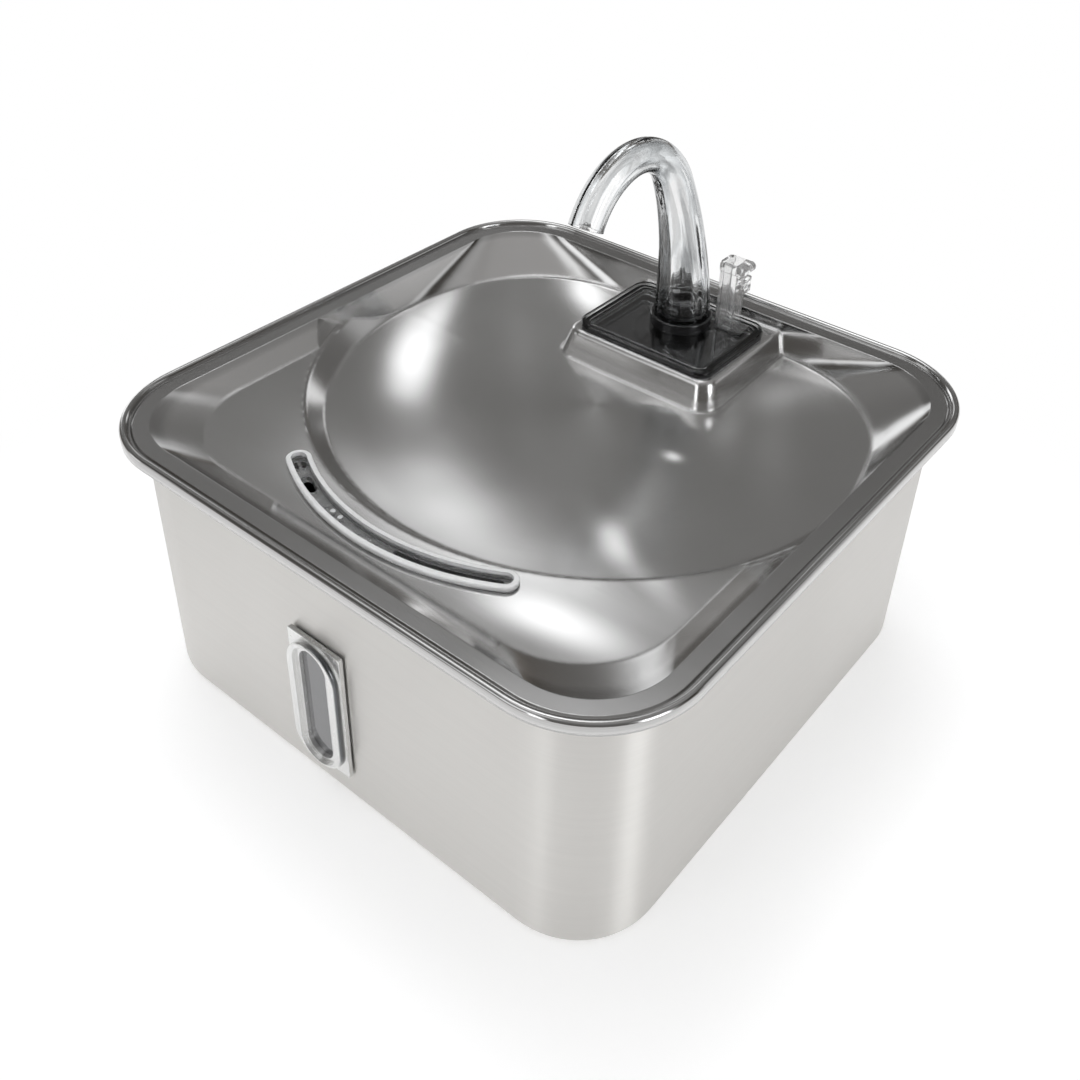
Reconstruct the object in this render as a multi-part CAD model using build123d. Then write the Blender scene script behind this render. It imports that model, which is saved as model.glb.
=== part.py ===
from build123d import *
import math
import os

# Square stainless pet water fountain, millimetres, +Z up.
# Origin: centre of the base, on the surface it stands on. The front, with the sight window, faces -Y.

# ---------------------------------------------------------------- pressed steel
SHEET = 0.8                 # thickness of the pressed stainless sheet

RIM_HALF = 145.0            # half the width over the rolled rim
RIM_RADIUS = 48.0           # plan radius of the rim's corners
RIM_Z = 137.0               # top of the rim
RIM_BEAD = 1.8              # radius of the rolled bead
RIM_GROOVE = 2.5            # depth of the groove inside the bead
RIM_SKIRT = 5.2             # how far the rim's outside hangs below its top
STRAIGHT_HALF = RIM_HALF - RIM_RADIUS

TANK_HALF = 135.0           # half the width of the tank's walls
TANK_RADIUS = RIM_RADIUS - (RIM_HALF - TANK_HALF)
TANK_BASE_FILLET = 6.0
TANK_LIP = 3.0              # the tank's flange reaches this far outside its walls
TANK_BEND = 2.5             # radius of the bend from wall to flange
TANK_BEAD = 1.1             # radius of the flange's closed edge
SEAT_Z = RIM_Z - 2.6        # top of the tank's flange, where the tray rests

WELL_HALF = 132.5           # inner edge of the tray's flange
WELL_RADIUS = RIM_RADIUS - (RIM_HALF - WELL_HALF)
FLANGE_Z = RIM_Z - 1.8
SHELF_HALF = 119.5          # foot of the sloped band around the shelf
SHELF_RADIUS = 44.0
SHELF_Z = RIM_Z - 8.5

DISH_Y = 36.0               # the round dish is set back from the centre
DISH_RADIUS = 126.0
DISH_EDGE_Z = RIM_Z - 17.0
DISH_SINK = 4.0             # how far the middle lies below the dish's edge
DISH_FOOT_FILLET = 1.5
DISH_BROW_FILLET = 3.0
BACK_FOOT_Y = 129.0         # foot of the back wall, at the height of the dish's edge
BACK_TURN = 75.0            # radius with which the dish's circle turns into the back wall

BOSS_HALF_X = 41.5          # square pedestal at the back of the dish
BOSS_FRONT_Y = 65.0
BOSS_BACK_Y = 150.0
BOSS_Z = RIM_Z - 7.0
BOSS_DRAFT = 19.0           # degrees
BOSS_CORNER = 8.0
BOSS_BROW = 2.6             # rounding of the pedestal's top edge
HATCH_Y = 96.0              # centre of the opening in the pedestal
HATCH_SIZE = (68.0, 50.0)
HATCH_RADIUS = 4.0

# ---------------------------------------------------------------- drain
SLOT_ARC_RADIUS = 112.5     # centre line of the drain slot
SLOT_ARC_Y = 1.0
SLOT_HALF_ANGLE = 30.5
SLOT_WIDTH = 8.0
DRAIN_LIP = (11.0, 2.8)     # width and height of the insert's lip above the shelf
DRAIN_PLAY = 0.4            # between the insert and the slot
DRAIN_TROUGH_WIDTH = 6.4
DRAIN_DEPTH = 4.0           # below the shelf
DRAIN_FLOOR = 3.0

# ---------------------------------------------------------------- hatch cover and cable guide
GASKET = 1.0
COVER_Z = BOSS_Z + GASKET   # underside of the clear cover
COVER_THICK = 2.2
COVER_RECESS = 0.7
COVER_FLOOR_Z = COVER_Z + COVER_THICK - COVER_RECESS
COVER_SIZE = (HATCH_SIZE[0] + 8, HATCH_SIZE[1] + 8)
COVER_RIM = (2.0, 1.0)      # width and height of the raised edge
COVER_BORDER = 4.0          # the sunk field starts this far in from the edge
COVER_SKIRT = 2.4           # depth of the locating skirt in the hatch
GUIDE_X = 20.2
GUIDE_Y = 115.0
GUIDE_SIZE = (10.0, 10.0, 36.0)
GUIDE_WALL = 1.6
CABLE_SLOT = 6.0            # width of the cord's way through the box and the guide

# ---------------------------------------------------------------- faucet
FAUCET_Y = 104.0
RUN_CLEARANCE = 0.05        # radial, on a shaft or a swivel
FOOT_RADIUS = 14.0
COLLAR_WALL = 1.4
COLLAR_HEIGHT = 5.2
COLLAR_FLOOR = 1.2
FOOT_Z = COVER_FLOOR_Z + COLLAR_FLOOR
NOZZLE_RADIUS = 10.2
NOZZLE_HEIGHT = 13.0        # above the faucet's foot
NOZZLE_DOME = 6.5
NOZZLE_HOLE_RADIUS = NOZZLE_RADIUS + 0.8
SOCKET_RADIUS = NOZZLE_RADIUS + 0.5
RING_Z = FOOT_Z + 5.0       # rubber ring that seals the faucet's foot on the nozzle
RING_MINOR = 1.1
RING_MAJOR = NOZZLE_RADIUS + 0.15 - RING_MINOR
LEG_BEND = 180.2            # the leg leans forward on this large radius
LEG_TURN = 26.7             # degrees
ARCH_BEND = 35.3            # centre-line radius of the arch
ARCH_TURN = 130.0           # degrees
LEG_RADII = (FOOT_RADIUS, 13.4, 12.4, 11.4, 10.5, 9.7, 9.1)
ARCH_RADII = (9.1, 8.4, 8.0, 7.8, 7.7, 7.7, 7.7, 7.7, 7.8)
LEG_BORE_RADII = (10.7, 10.7, 9.6, 8.6, 7.9, 7.2, 6.7)
ARCH_BORE_RADII = (6.7, 6.2, 5.9, 5.7, 5.6, 5.6, 5.6, 5.6, 5.6)

# ---------------------------------------------------------------- sight window
WINDOW_X = -7.0
WINDOW_Z = 53.0
WINDOW_TUBE = (17.6, 62.6)  # stadium hole in the tank's front wall, width and height
WINDOW_GASKET = 0.8
PLATE_SIZE = (30.0, 69.0)
PLATE_THICK = 2.0
PLATE_BACK_Y = -TANK_HALF - WINDOW_GASKET
PLATE_FRONT_Y = PLATE_BACK_Y - PLATE_THICK
BEZEL_SIZE = (29.0, 68.0)
BEZEL_HEIGHT = 3.2
LENS_SIZE = (15.0, 60.0)
LENS_THICK = 1.6

# ---------------------------------------------------------------- filter box under the pedestal
BOX_SIZE = (70.0, 54.0)
BOX_WALL = 2.0
BOX_BASE_Z = 8.0
BOX_TOP_Z = 122.5
BOX_FRONT_Y = HATCH_Y - BOX_SIZE[1] / 2
BOX_BACK_Y = HATCH_Y + BOX_SIZE[1] / 2
LID_Z = 126.5
DOOR_SIZE = (56.0, 88.0)
DOOR_Z = 58.0
GRILLE_SIZE = (62.0, 94.0)
GRILLE_THICK = 2.6
CARTRIDGE_SIZE = (DOOR_SIZE[0] - 1, 10.0, DOOR_SIZE[1] - 1)
CARTRIDGE_Y = BOX_FRONT_Y + CARTRIDGE_SIZE[1] / 2
CARTRIDGE_RIB = 1.2
PAD_SIZE = (CARTRIDGE_SIZE[0] - 6, CARTRIDGE_SIZE[2] - 6)
FIBRE_THICK = 3.0
SPONGE_SIZE = (18.0, 38.0, 60.0)
SPONGE_X = -23.5
CUP_SPREAD = (25.0, 17.0)   # the suction cups stand this far from the box's middle

# ---------------------------------------------------------------- pump, its axle along X
PUMP_Y = FAUCET_Y
PUMP_Z = 30.0               # height of the axle
PUMP_BASE_Z = BOX_BASE_Z + BOX_WALL
PUMP_TOP_Z = 50.0
PUMP_HALF_Y = 16.5
PUMP_HEIGHT = PUMP_TOP_Z - PUMP_BASE_Z
CHAMBER_HALF = 9.0          # half the length of the impeller chamber
CHAMBER_RADIUS = 13.5
CHAMBER_WALL = 3.0
MOTOR_END_X = 32.5
MAGNET_RADIUS = 8.0
MAGNET_GAP = 0.5
SHAFT_RADIUS = 1.0
IMPELLER_HUB = 4.0
BLADE_COUNT = 6
OUTLET_RADIUS = 6.0
OUTLET_BORE = 4.2
OUTLET_TOP_Z = 60.0
RISER_WALL = 2.0
PORT_RING = 6.8             # the intake ports lie on this radius
PORT_RADIUS = 1.9
PORT_COUNT = 6
DIAL_RADIUS = 11.5
DIAL_THICK = 2.6
DIAL_GAP = 0.1
DIAL_PIN_RADIUS = 2.0
GLAND_X = 26.0
GLAND_Y = PUMP_Y + 9
GLAND_RADIUS = 3.0


# ---------------------------------------------------------------- shared shapes
def block(size, centre, radius=0.0):
    """Box of size (x, y, z) about a centre, its upright edges rounded."""
    x, y, z = size
    outline = RectangleRounded(x, y, radius) if radius else Rectangle(x, y)
    return Pos(centre[0], centre[1], centre[2] - z / 2) * extrude(outline, z)


def rod(radius, start, end):
    """Cylinder between two points."""
    path = Vector(*end) - Vector(*start)
    return extrude(Plane(origin=start, z_dir=path) * Circle(radius), path.length)


def upright(radius, z_start, z_end, x=0.0, y=FAUCET_Y):
    """Vertical cylinder, on the faucet's axis unless told otherwise."""
    return rod(radius, (x, y, z_start), (x, y, z_end))


def along_x(radius, x_start, x_end):
    """Cylinder on the pump's axle."""
    return rod(radius, (x_start, PUMP_Y, PUMP_Z), (x_end, PUMP_Y, PUMP_Z))


def square_loft(levels):
    """Loft through rounded squares given as (half width, corner radius, z)."""
    return loft([Pos(0, 0, z) * RectangleRounded(2 * half, 2 * half, radius) for half, radius, z in levels])


def rim_ring(profile):
    """Carry a face drawn in XZ round the rim's rounded square: straight sides and quarter turns."""
    side = extrude(Pos(0, -STRAIGHT_HALF, 0) * profile, 2 * STRAIGHT_HALF, dir=(0, 1, 0))
    turn = revolve(
        Pos(0, STRAIGHT_HALF, 0) * profile,
        Axis((STRAIGHT_HALF, STRAIGHT_HALF, 0), (0, 0, 1)),
        90,
    )
    pieces = [Rot(0, 0, 90 * quarter) * piece for quarter in range(4) for piece in (side, turn)]
    return pieces[0].fuse(*pieces[1:])


def front_stadium(size, y, depth):
    """Upright stadium on the front wall, of size (width, height), from y towards +Y by depth."""
    width, height = size
    plane = Plane(origin=(WINDOW_X, y, WINDOW_Z), x_dir=(1, 0, 0), z_dir=(0, -1, 0))
    return extrude(plane * Rot(0, 0, 90) * SlotOverall(height, width), -depth)


def front_plate(size, y, depth, radius):
    """Upright rounded rectangle on the front wall, from y towards +Y by depth."""
    return Pos(WINDOW_X, y + depth, WINDOW_Z) * extrude(Plane.XZ * RectangleRounded(*size, radius), depth)


def drain_slot(width, z, height, start=-SLOT_HALF_ANGLE, end=SLOT_HALF_ANGLE, offset=0.0):
    """Arc-shaped slot along the front shelf, between two angles about the front."""
    arc = CenterArc((0, SLOT_ARC_Y), SLOT_ARC_RADIUS + offset, 270 + start, end - start)
    return Pos(0, 0, z) * extrude(SlotArc(arc, width), height)


# ---------------------------------------------------------------- tank
def make_tank():
    outer = block((2 * TANK_HALF, 2 * TANK_HALF, SEAT_Z), (0, 0, SEAT_Z / 2), TANK_RADIUS)
    outer = fillet(outer.edges().group_by(Axis.Z)[0], TANK_BASE_FILLET)
    inner_half = TANK_HALF - SHEET
    inner = block((2 * inner_half, 2 * inner_half, SEAT_Z), (0, 0, SHEET + SEAT_Z / 2), TANK_RADIUS - SHEET)
    inner = fillet(inner.edges().group_by(Axis.Z)[0], TANK_BASE_FILLET - SHEET)
    wall_top = SEAT_Z - TANK_BEND
    shell = (outer - inner) & block((3 * TANK_HALF, 3 * TANK_HALF, wall_top), (0, 0, wall_top / 2))

    bend_end = inner_half + TANK_BEND
    lip_end = TANK_HALF + TANK_LIP
    with BuildSketch(Plane.XZ) as profile:
        with BuildLine():
            Line((TANK_HALF, wall_top), (inner_half, wall_top))
            RadiusArc((inner_half, wall_top), (bend_end, SEAT_Z), TANK_BEND)
            Line((bend_end, SEAT_Z), (lip_end, SEAT_Z))
            Line((lip_end, SEAT_Z), (lip_end, SEAT_Z - SHEET))
            Line((lip_end, SEAT_Z - SHEET), (bend_end, SEAT_Z - SHEET))
            RadiusArc((bend_end, SEAT_Z - SHEET), (TANK_HALF, wall_top), -(TANK_BEND - SHEET))
        make_face()
        with Locations((lip_end, SEAT_Z - TANK_BEAD)):
            Circle(TANK_BEAD)
    tank = shell + rim_ring(profile.sketch)
    return tank - front_stadium(WINDOW_TUBE, -TANK_HALF - 5, 10)


# ---------------------------------------------------------------- tray
def dish_profile():
    """Half section of the dish's hollow: shallow bowl, sloping wall, rounded step on to the shelf."""
    centre_z = DISH_EDGE_Z - DISH_SINK
    wall_top = DISH_RADIUS + SHELF_Z - DISH_EDGE_Z
    step = wall_top + 1.6
    reach = step + RIM_Z - SHELF_Z
    ceiling = RIM_Z + 4
    middle = (DISH_RADIUS / 2, centre_z + DISH_SINK / 4)
    with BuildSketch() as sketch:
        with BuildLine():
            ThreePointArc((0, centre_z), middle, (DISH_RADIUS, DISH_EDGE_Z))
            Polyline((DISH_RADIUS, DISH_EDGE_Z), (wall_top, SHELF_Z), (step, SHELF_Z), (reach, RIM_Z))
            Polyline((reach, RIM_Z), (reach, ceiling), (0, ceiling), (0, centre_z))
        make_face()
        foot = sketch.vertices().sort_by_distance((DISH_RADIUS, DISH_EDGE_Z, 0))[0]
        fillet(foot, DISH_FOOT_FILLET)
        brow = sketch.vertices().sort_by_distance((wall_top, SHELF_Z, 0))[0]
        fillet(brow, DISH_BROW_FILLET)
    return sketch.sketch


def tray_boss(drop):
    """Raised square pedestal that grows out of the dish and runs into the back wall."""
    draft = math.radians(BOSS_DRAFT)
    shrink = drop / math.cos(draft)
    top_z = BOSS_Z - drop
    levels = []
    for z in (BOSS_Z - 30, top_z):
        grow = (BOSS_Z - z) * math.tan(draft) - shrink
        front = BOSS_FRONT_Y - grow
        outline = RectangleRounded(2 * (BOSS_HALF_X + grow), BOSS_BACK_Y - front, BOSS_CORNER + grow / 2)
        levels.append(Pos(0, (BOSS_BACK_Y + front) / 2, z) * outline)
    pedestal = loft(levels)
    return fillet(pedestal.edges().group_by(Axis.Z)[-1], BOSS_BROW - drop)


def wall_outline(z, side, front_radius, side_turn, back_turn, split):
    """Outline of the walls at height z, the same on both sides of X = 0. The turns are (x, y, radius) and
    meet at the angle split."""
    straight = side - front_radius
    back = back_turn[1] + back_turn[2]
    right = [
        Line((0, -side), (straight, -side)),
        CenterArc((straight, -straight), front_radius, 270, 90),
        Line((side, -straight), (side, side_turn[1])),
        CenterArc(side_turn[:2], side_turn[2], 0, split),
        CenterArc(back_turn[:2], back_turn[2], split, 90 - split),
        Line((back_turn[0], back), (0, back)),
    ]
    left = [edge.mirror(Plane.YZ) for edge in right]
    return Pos(0, 0, z) * make_face(Wire(right + left).edges())


def tray_walls(drop):
    """Side and back walls: they rise from the dish's circle, and in the corners from its soft turn into
    the back, to the flange's inner edge. The slope is gentle in the corners and steep elsewhere."""
    out = 0.9 * drop
    down = 0.6 * drop
    side = DISH_RADIUS + out
    turn = BACK_TURN + out
    turn_y = BACK_FOOT_Y - BACK_TURN
    turn_x = math.sqrt((side - turn) ** 2 - (turn_y - DISH_Y) ** 2)
    split = math.degrees(math.atan2(turn_y - DISH_Y, turn_x))
    foot_z = DISH_EDGE_Z - down
    side_turn = (0, DISH_Y, side)
    foot = wall_outline(foot_z, side, WELL_RADIUS, side_turn, (turn_x, turn_y, turn), split)
    top_half = WELL_HALF + out
    corner = (STRAIGHT_HALF, STRAIGHT_HALF, WELL_RADIUS + out)
    top = wall_outline(FLANGE_Z - down, top_half, WELL_RADIUS + out, corner, corner, split)
    return loft([foot, top]), extrude(foot, 8, dir=(0, 0, -1))


def tray_hollow(drop):
    """The space above the tray's skin, or with drop = SHEET the same space one sheet lower and wider."""
    slope = math.atan2(FLANGE_Z - SHELF_Z, WELL_HALF - SHELF_HALF)
    out = drop * math.sin(slope)
    down = drop * math.cos(slope)
    top_z = FLANGE_Z if drop else RIM_Z + 4
    well = square_loft([
        (WELL_HALF + out, WELL_RADIUS + out, FLANGE_Z - down),
        (SHELF_HALF + out - (drop - down) / math.tan(slope), SHELF_RADIUS, SHELF_Z - drop),
    ])
    wide = WELL_HALF + drop
    collar_base = FLANGE_Z - down
    collar = block((2 * wide, 2 * wide, top_z - collar_base), (0, 0, (top_z + collar_base) / 2), WELL_RADIUS + drop)
    profile = dish_profile()
    if drop:
        profile = offset(profile, drop, kind=Kind.INTERSECTION) & (Pos(RIM_HALF, 0) * Rectangle(2 * RIM_HALF, 999))
    dish = Pos(0, DISH_Y, 0) * revolve(Plane.XZ * profile, Axis.Z, 360)
    walls, foot = tray_walls(drop)
    back_half = block((3 * RIM_HALF, 2 * RIM_HALF, 100), (0, DISH_Y + RIM_HALF, DISH_EDGE_Z))
    return (well + collar + (dish & (walls + foot)) + (walls & back_half)) - tray_boss(drop)


def rim_profile():
    """Tray rim from the skirt over the rolled bead, a groove and the flat flange."""
    crown_x = RIM_HALF - RIM_BEAD
    crown_z = RIM_Z - RIM_BEAD
    bead_foot = crown_x - RIM_BEAD
    groove_x = bead_foot - 0.2
    groove_z = RIM_Z - RIM_GROOVE
    land_x = groove_x - 1.7
    skirt_z = RIM_Z - RIM_SKIRT
    inside = RIM_HALF - SHEET
    under_z = FLANGE_Z - SHEET
    with BuildSketch(Plane.XZ) as sketch:
        with BuildLine():
            Line((RIM_HALF, skirt_z), (RIM_HALF, crown_z))
            ThreePointArc((RIM_HALF, crown_z), (crown_x, RIM_Z), (bead_foot, crown_z))
            Polyline((bead_foot, crown_z), (groove_x, groove_z), (groove_x - 0.8, groove_z), (land_x, FLANGE_Z))
            Polyline((land_x, FLANGE_Z), (WELL_HALF, FLANGE_Z), (WELL_HALF, under_z), (land_x - 0.3, under_z))
            Polyline(
                (land_x - 0.3, under_z),
                (groove_x - 1.2, groove_z - SHEET),
                (groove_x + 0.5, groove_z - SHEET),
                (bead_foot + SHEET, crown_z),
            )
            ThreePointArc((bead_foot + SHEET, crown_z), (crown_x, RIM_Z - SHEET), (inside, crown_z))
            Polyline((inside, crown_z), (inside, skirt_z), (RIM_HALF, skirt_z))
        make_face()
    return sketch.sketch


def make_tray():
    skin = tray_hollow(SHEET) - tray_hollow(0)
    tray = skin + rim_ring(rim_profile())
    tray -= block((*HATCH_SIZE, 20), (0, HATCH_Y, BOSS_Z), HATCH_RADIUS)
    return tray - drain_slot(SLOT_WIDTH, SHELF_Z - 5, 10)


def make_drain_insert():
    """Clear trough in the drain slot: a low lip, a perforated floor and two small ribs."""
    lip_width, lip_height = DRAIN_LIP
    base_z = SHELF_Z - DRAIN_DEPTH
    cut_z = base_z - 1
    insert = drain_slot(lip_width, SHELF_Z, lip_height)
    insert = fillet(insert.edges().group_by(Axis.Z)[-1], 0.9)
    insert += drain_slot(SLOT_WIDTH - 2 * DRAIN_PLAY, base_z, DRAIN_DEPTH)
    insert -= drain_slot(DRAIN_TROUGH_WIDTH, base_z + DRAIN_FLOOR, 10)
    insert -= drain_slot(2.4, cut_z, 10, start=7.0, end=29.5, offset=-1.4)
    insert -= drain_slot(4.6, cut_z, 10, start=-24.5, end=-21.0)
    for side in (-1.6, 1.6):
        insert -= drain_slot(2.0, cut_z, 10, start=-30.8, end=-29.2, offset=side)
    for angle in (-11.0, -8.4):
        turn = math.radians(270 + angle)
        x = SLOT_ARC_RADIUS * math.cos(turn)
        y = SLOT_ARC_Y + SLOT_ARC_RADIUS * math.sin(turn)
        insert += upright(1.1, base_z + DRAIN_FLOOR, base_z + DRAIN_FLOOR + 2.2, x, y)
    return insert


# ---------------------------------------------------------------- hatch cover and cable guide
def make_cover_gasket():
    outer_size = (COVER_SIZE[0] - 1, COVER_SIZE[1] - 1, GASKET)
    hole_size = (HATCH_SIZE[0] - 0.6, HATCH_SIZE[1] - 0.6, 3 * GASKET)
    outer = block(outer_size, (0, HATCH_Y, BOSS_Z + GASKET / 2), HATCH_RADIUS + 3)
    return outer - block(hole_size, (0, HATCH_Y, BOSS_Z), HATCH_RADIUS - 0.3)


def make_outlet_cover():
    x, y = COVER_SIZE
    rim, rim_height = COVER_RIM
    full = COVER_THICK + rim_height
    cover = block((x, y, full), (0, HATCH_Y, COVER_Z + full / 2), HATCH_RADIUS + 4)
    cover = fillet(cover.edges().group_by(Axis.Z)[-1], 0.6)
    cover -= block((x - 2 * rim, y - 2 * rim, 10), (0, HATCH_Y, COVER_Z + COVER_THICK + 5), HATCH_RADIUS + 2)
    field = (x - 2 * COVER_BORDER, y - 2 * COVER_BORDER, 10)
    cover -= block(field, (0, HATCH_Y, COVER_FLOOR_Z + 5), HATCH_RADIUS)
    skirt_x = HATCH_SIZE[0] - 1
    skirt_y = HATCH_SIZE[1] - 1
    skirt = block((skirt_x, skirt_y, COVER_SKIRT), (0, HATCH_Y, COVER_Z - COVER_SKIRT / 2), HATCH_RADIUS - 0.5)
    skirt -= block((skirt_x - 3, skirt_y - 3, 10), (0, HATCH_Y, COVER_Z - 5), HATCH_RADIUS - 2)
    cover += skirt
    cover -= upright(NOZZLE_HOLE_RADIUS, COVER_Z - 5, COVER_Z + 5)
    return cover - block((CABLE_SLOT, CABLE_SLOT, 20), (GUIDE_X, GUIDE_Y, COVER_Z))


def make_cable_guide():
    """Clear upright channel that carries the cord up and over the back rim."""
    width, depth, height = GUIDE_SIZE
    base_z = COVER_FLOOR_Z
    middle_z = base_z + height / 2
    top_z = base_z + height
    lip_x = GUIDE_X + 6.4
    lip_z = top_z - 2.6
    ear_x = GUIDE_X + 5.6
    ear_z = top_z - 10.5
    foot = block((width + 5, depth, 1.4), (GUIDE_X + 2.5, GUIDE_Y, base_z + 0.7), 1.5)
    shaft = block((width, depth, height), (GUIDE_X, GUIDE_Y, middle_z), GUIDE_WALL)
    hood = block((width + 3, 12, 4.6), (GUIDE_X + 1, GUIDE_Y + 0.4, top_z - 2.3), 2.2)
    hood = fillet(hood.edges().group_by(Axis.Z)[-1], 1.6)
    lip = rod(2.4, (lip_x, GUIDE_Y - 4.8, lip_z), (lip_x, GUIDE_Y + 5.6, lip_z))
    ear = block((6, 8, 7), (ear_x, GUIDE_Y, ear_z), 1.4)
    guide = foot + shaft + hood + lip + ear
    inside = (width - 2 * GUIDE_WALL, depth - 2 * GUIDE_WALL, height + 4)
    guide -= block(inside, (GUIDE_X, GUIDE_Y, middle_z - 3), 0.8)
    guide -= block((CABLE_SLOT, depth, height + 4), (GUIDE_X, GUIDE_Y + depth / 2, middle_z - 3))
    guide -= block((CABLE_SLOT, 14, 4), (GUIDE_X, GUIDE_Y + 4, top_z - 4))
    return guide - rod(1.6, (ear_x + 0.6, GUIDE_Y - 8, ear_z), (ear_x + 0.6, GUIDE_Y + 8, ear_z))


# ---------------------------------------------------------------- faucet
def make_faucet_collar():
    collar = upright(FOOT_RADIUS + COLLAR_WALL, COVER_FLOOR_Z, COVER_FLOOR_Z + COLLAR_HEIGHT)
    collar = fillet(collar.edges().group_by(Axis.Z)[-1], 0.6)
    collar -= upright(FOOT_RADIUS + RUN_CLEARANCE, FOOT_Z, FOOT_Z + 20)
    return collar - upright(NOZZLE_HOLE_RADIUS, FOOT_Z - 10, FOOT_Z + 10)


def tube_along(path, radii):
    """Round bar lofted along a path through radii spaced evenly from its start to its end."""
    last = len(radii) - 1
    sections = [Plane(origin=path @ (i / last), z_dir=path % (i / last)) * Circle(r) for i, r in enumerate(radii)]
    return loft(sections)


def make_faucet():
    """Clear gooseneck: a wide foot that narrows into a leaning leg, then an arch that ends above the dish."""
    plane = Plane(origin=(0, FAUCET_Y, FOOT_Z), x_dir=(0, -1, 0), z_dir=(-1, 0, 0))
    flat_leg = JernArc((0, 0), (0, 1), LEG_BEND, -LEG_TURN)
    leg = plane * flat_leg
    arch = plane * JernArc(flat_leg @ 1, flat_leg % 1, ARCH_BEND, -ARCH_TURN)
    outer = tube_along(leg, LEG_RADII) + tube_along(arch, ARCH_RADII)
    bore = tube_along(leg, LEG_BORE_RADII) + tube_along(arch, ARCH_BORE_RADII)
    return outer - bore - upright(SOCKET_RADIUS, FOOT_Z - 1, FOOT_Z + NOZZLE_HEIGHT)


# ---------------------------------------------------------------- sight window
def make_window_plate():
    bezel_y = PLATE_FRONT_Y - BEZEL_HEIGHT
    spigot = (WINDOW_TUBE[0] - 0.2, WINDOW_TUBE[1] - 0.2)
    bezel = front_stadium(BEZEL_SIZE, bezel_y, BEZEL_HEIGHT)
    bezel = fillet(bezel.edges().group_by(Axis.Y)[0], 1.4)
    plate = front_plate(PLATE_SIZE, PLATE_FRONT_Y, PLATE_THICK, 0.6) + bezel
    plate += front_stadium(spigot, PLATE_BACK_Y, 4.4)
    plate -= front_stadium((LENS_SIZE[0] + 0.2, LENS_SIZE[1] + 0.2), bezel_y - 5, 20)
    return plate - front_stadium((LENS_SIZE[0] + 5, LENS_SIZE[1] + 5), bezel_y - 5, 5 + 1.6)


def make_window_lens():
    return front_stadium(LENS_SIZE, PLATE_FRONT_Y + 0.4, LENS_THICK)


def make_window_gasket():
    gasket = front_plate((PLATE_SIZE[0] - 2, PLATE_SIZE[1] - 2), PLATE_BACK_Y, WINDOW_GASKET, 2)
    return gasket - front_stadium(WINDOW_TUBE, PLATE_BACK_Y - 5, 20)


def make_window_frame():
    inside_y = -TANK_HALF + SHEET
    frame = front_plate((28, 72), inside_y, 2.4, 2)
    return frame - front_stadium(WINDOW_TUBE, inside_y - 5, 20)


# ---------------------------------------------------------------- filter box
def make_filter_box():
    x, y = BOX_SIZE
    height = BOX_TOP_Z - BOX_BASE_Z
    middle_z = BOX_BASE_Z + height / 2
    box = block((x, y, height), (0, HATCH_Y, middle_z), 4)
    box -= block((x - 2 * BOX_WALL, y - 2 * BOX_WALL, height), (0, HATCH_Y, middle_z + BOX_WALL), 2)
    box -= block((DOOR_SIZE[0], 10, DOOR_SIZE[1]), (0, BOX_FRONT_Y, DOOR_Z))
    return box - block((CABLE_SLOT, 10, 12), (GUIDE_X, BOX_BACK_Y, BOX_TOP_Z))


def make_box_lid():
    """Black lid with a raised ring, two ribs and the domed nozzle that feeds the faucet."""
    x, y = BOX_SIZE
    thick = LID_Z - BOX_TOP_Z
    rib = 0.9
    nozzle_top = FOOT_Z + NOZZLE_HEIGHT
    lid = block((x, y, thick), (0, HATCH_Y, BOX_TOP_Z + thick / 2), 4)
    lid = fillet(lid.edges().group_by(Axis.Z)[-1], 1.0)
    ring = upright(23.5, LID_Z, LID_Z + rib) - upright(22.3, LID_Z, LID_Z + rib)
    lid += ring & block((x - 6, y - 6, 6), (0, HATCH_Y, LID_Z))
    for rib_x in (-9.0, 9.0):
        lid += block((1.2, 16, rib), (rib_x, FAUCET_Y - 23, LID_Z + rib / 2))
    nozzle = upright(NOZZLE_RADIUS, LID_Z, nozzle_top)
    lid += fillet(nozzle.edges().group_by(Axis.Z)[-1], NOZZLE_DOME)
    lid += upright(OUTLET_RADIUS, BOX_TOP_Z - 10, BOX_TOP_Z)
    lid -= upright(OUTLET_BORE, BOX_TOP_Z - 20, nozzle_top + 5)
    groove = upright(NOZZLE_RADIUS + 2, RING_Z - 1.2, RING_Z + 1.2)
    lid -= groove - upright(RING_MAJOR - RING_MINOR, RING_Z - 2, RING_Z + 2)
    return lid - block((CABLE_SLOT, 12, 20), (GUIDE_X, BOX_BACK_Y, BOX_TOP_Z))


def make_nozzle_ring():
    return Pos(0, FAUCET_Y, RING_Z) * Torus(RING_MAJOR, RING_MINOR)


def make_intake_grille():
    """Slotted front of the filter drawer, with a finger grip."""
    outline = Plane.XZ * RectangleRounded(*GRILLE_SIZE, 3)
    grille = Pos(0, BOX_FRONT_Y, DOOR_Z) * extrude(outline, GRILLE_THICK)
    columns = 7
    pitch = 7.4
    for column in range(columns):
        x = (column - (columns - 1) / 2) * pitch
        for z in (DOOR_Z - 20, DOOR_Z + 20):
            grille -= block((3.4, 20, 34), (x, BOX_FRONT_Y, z))
    return grille + block((20, 3, 3), (0, BOX_FRONT_Y - GRILLE_THICK - 1.5, DOOR_Z + GRILLE_SIZE[1] / 2 - 4))


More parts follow.
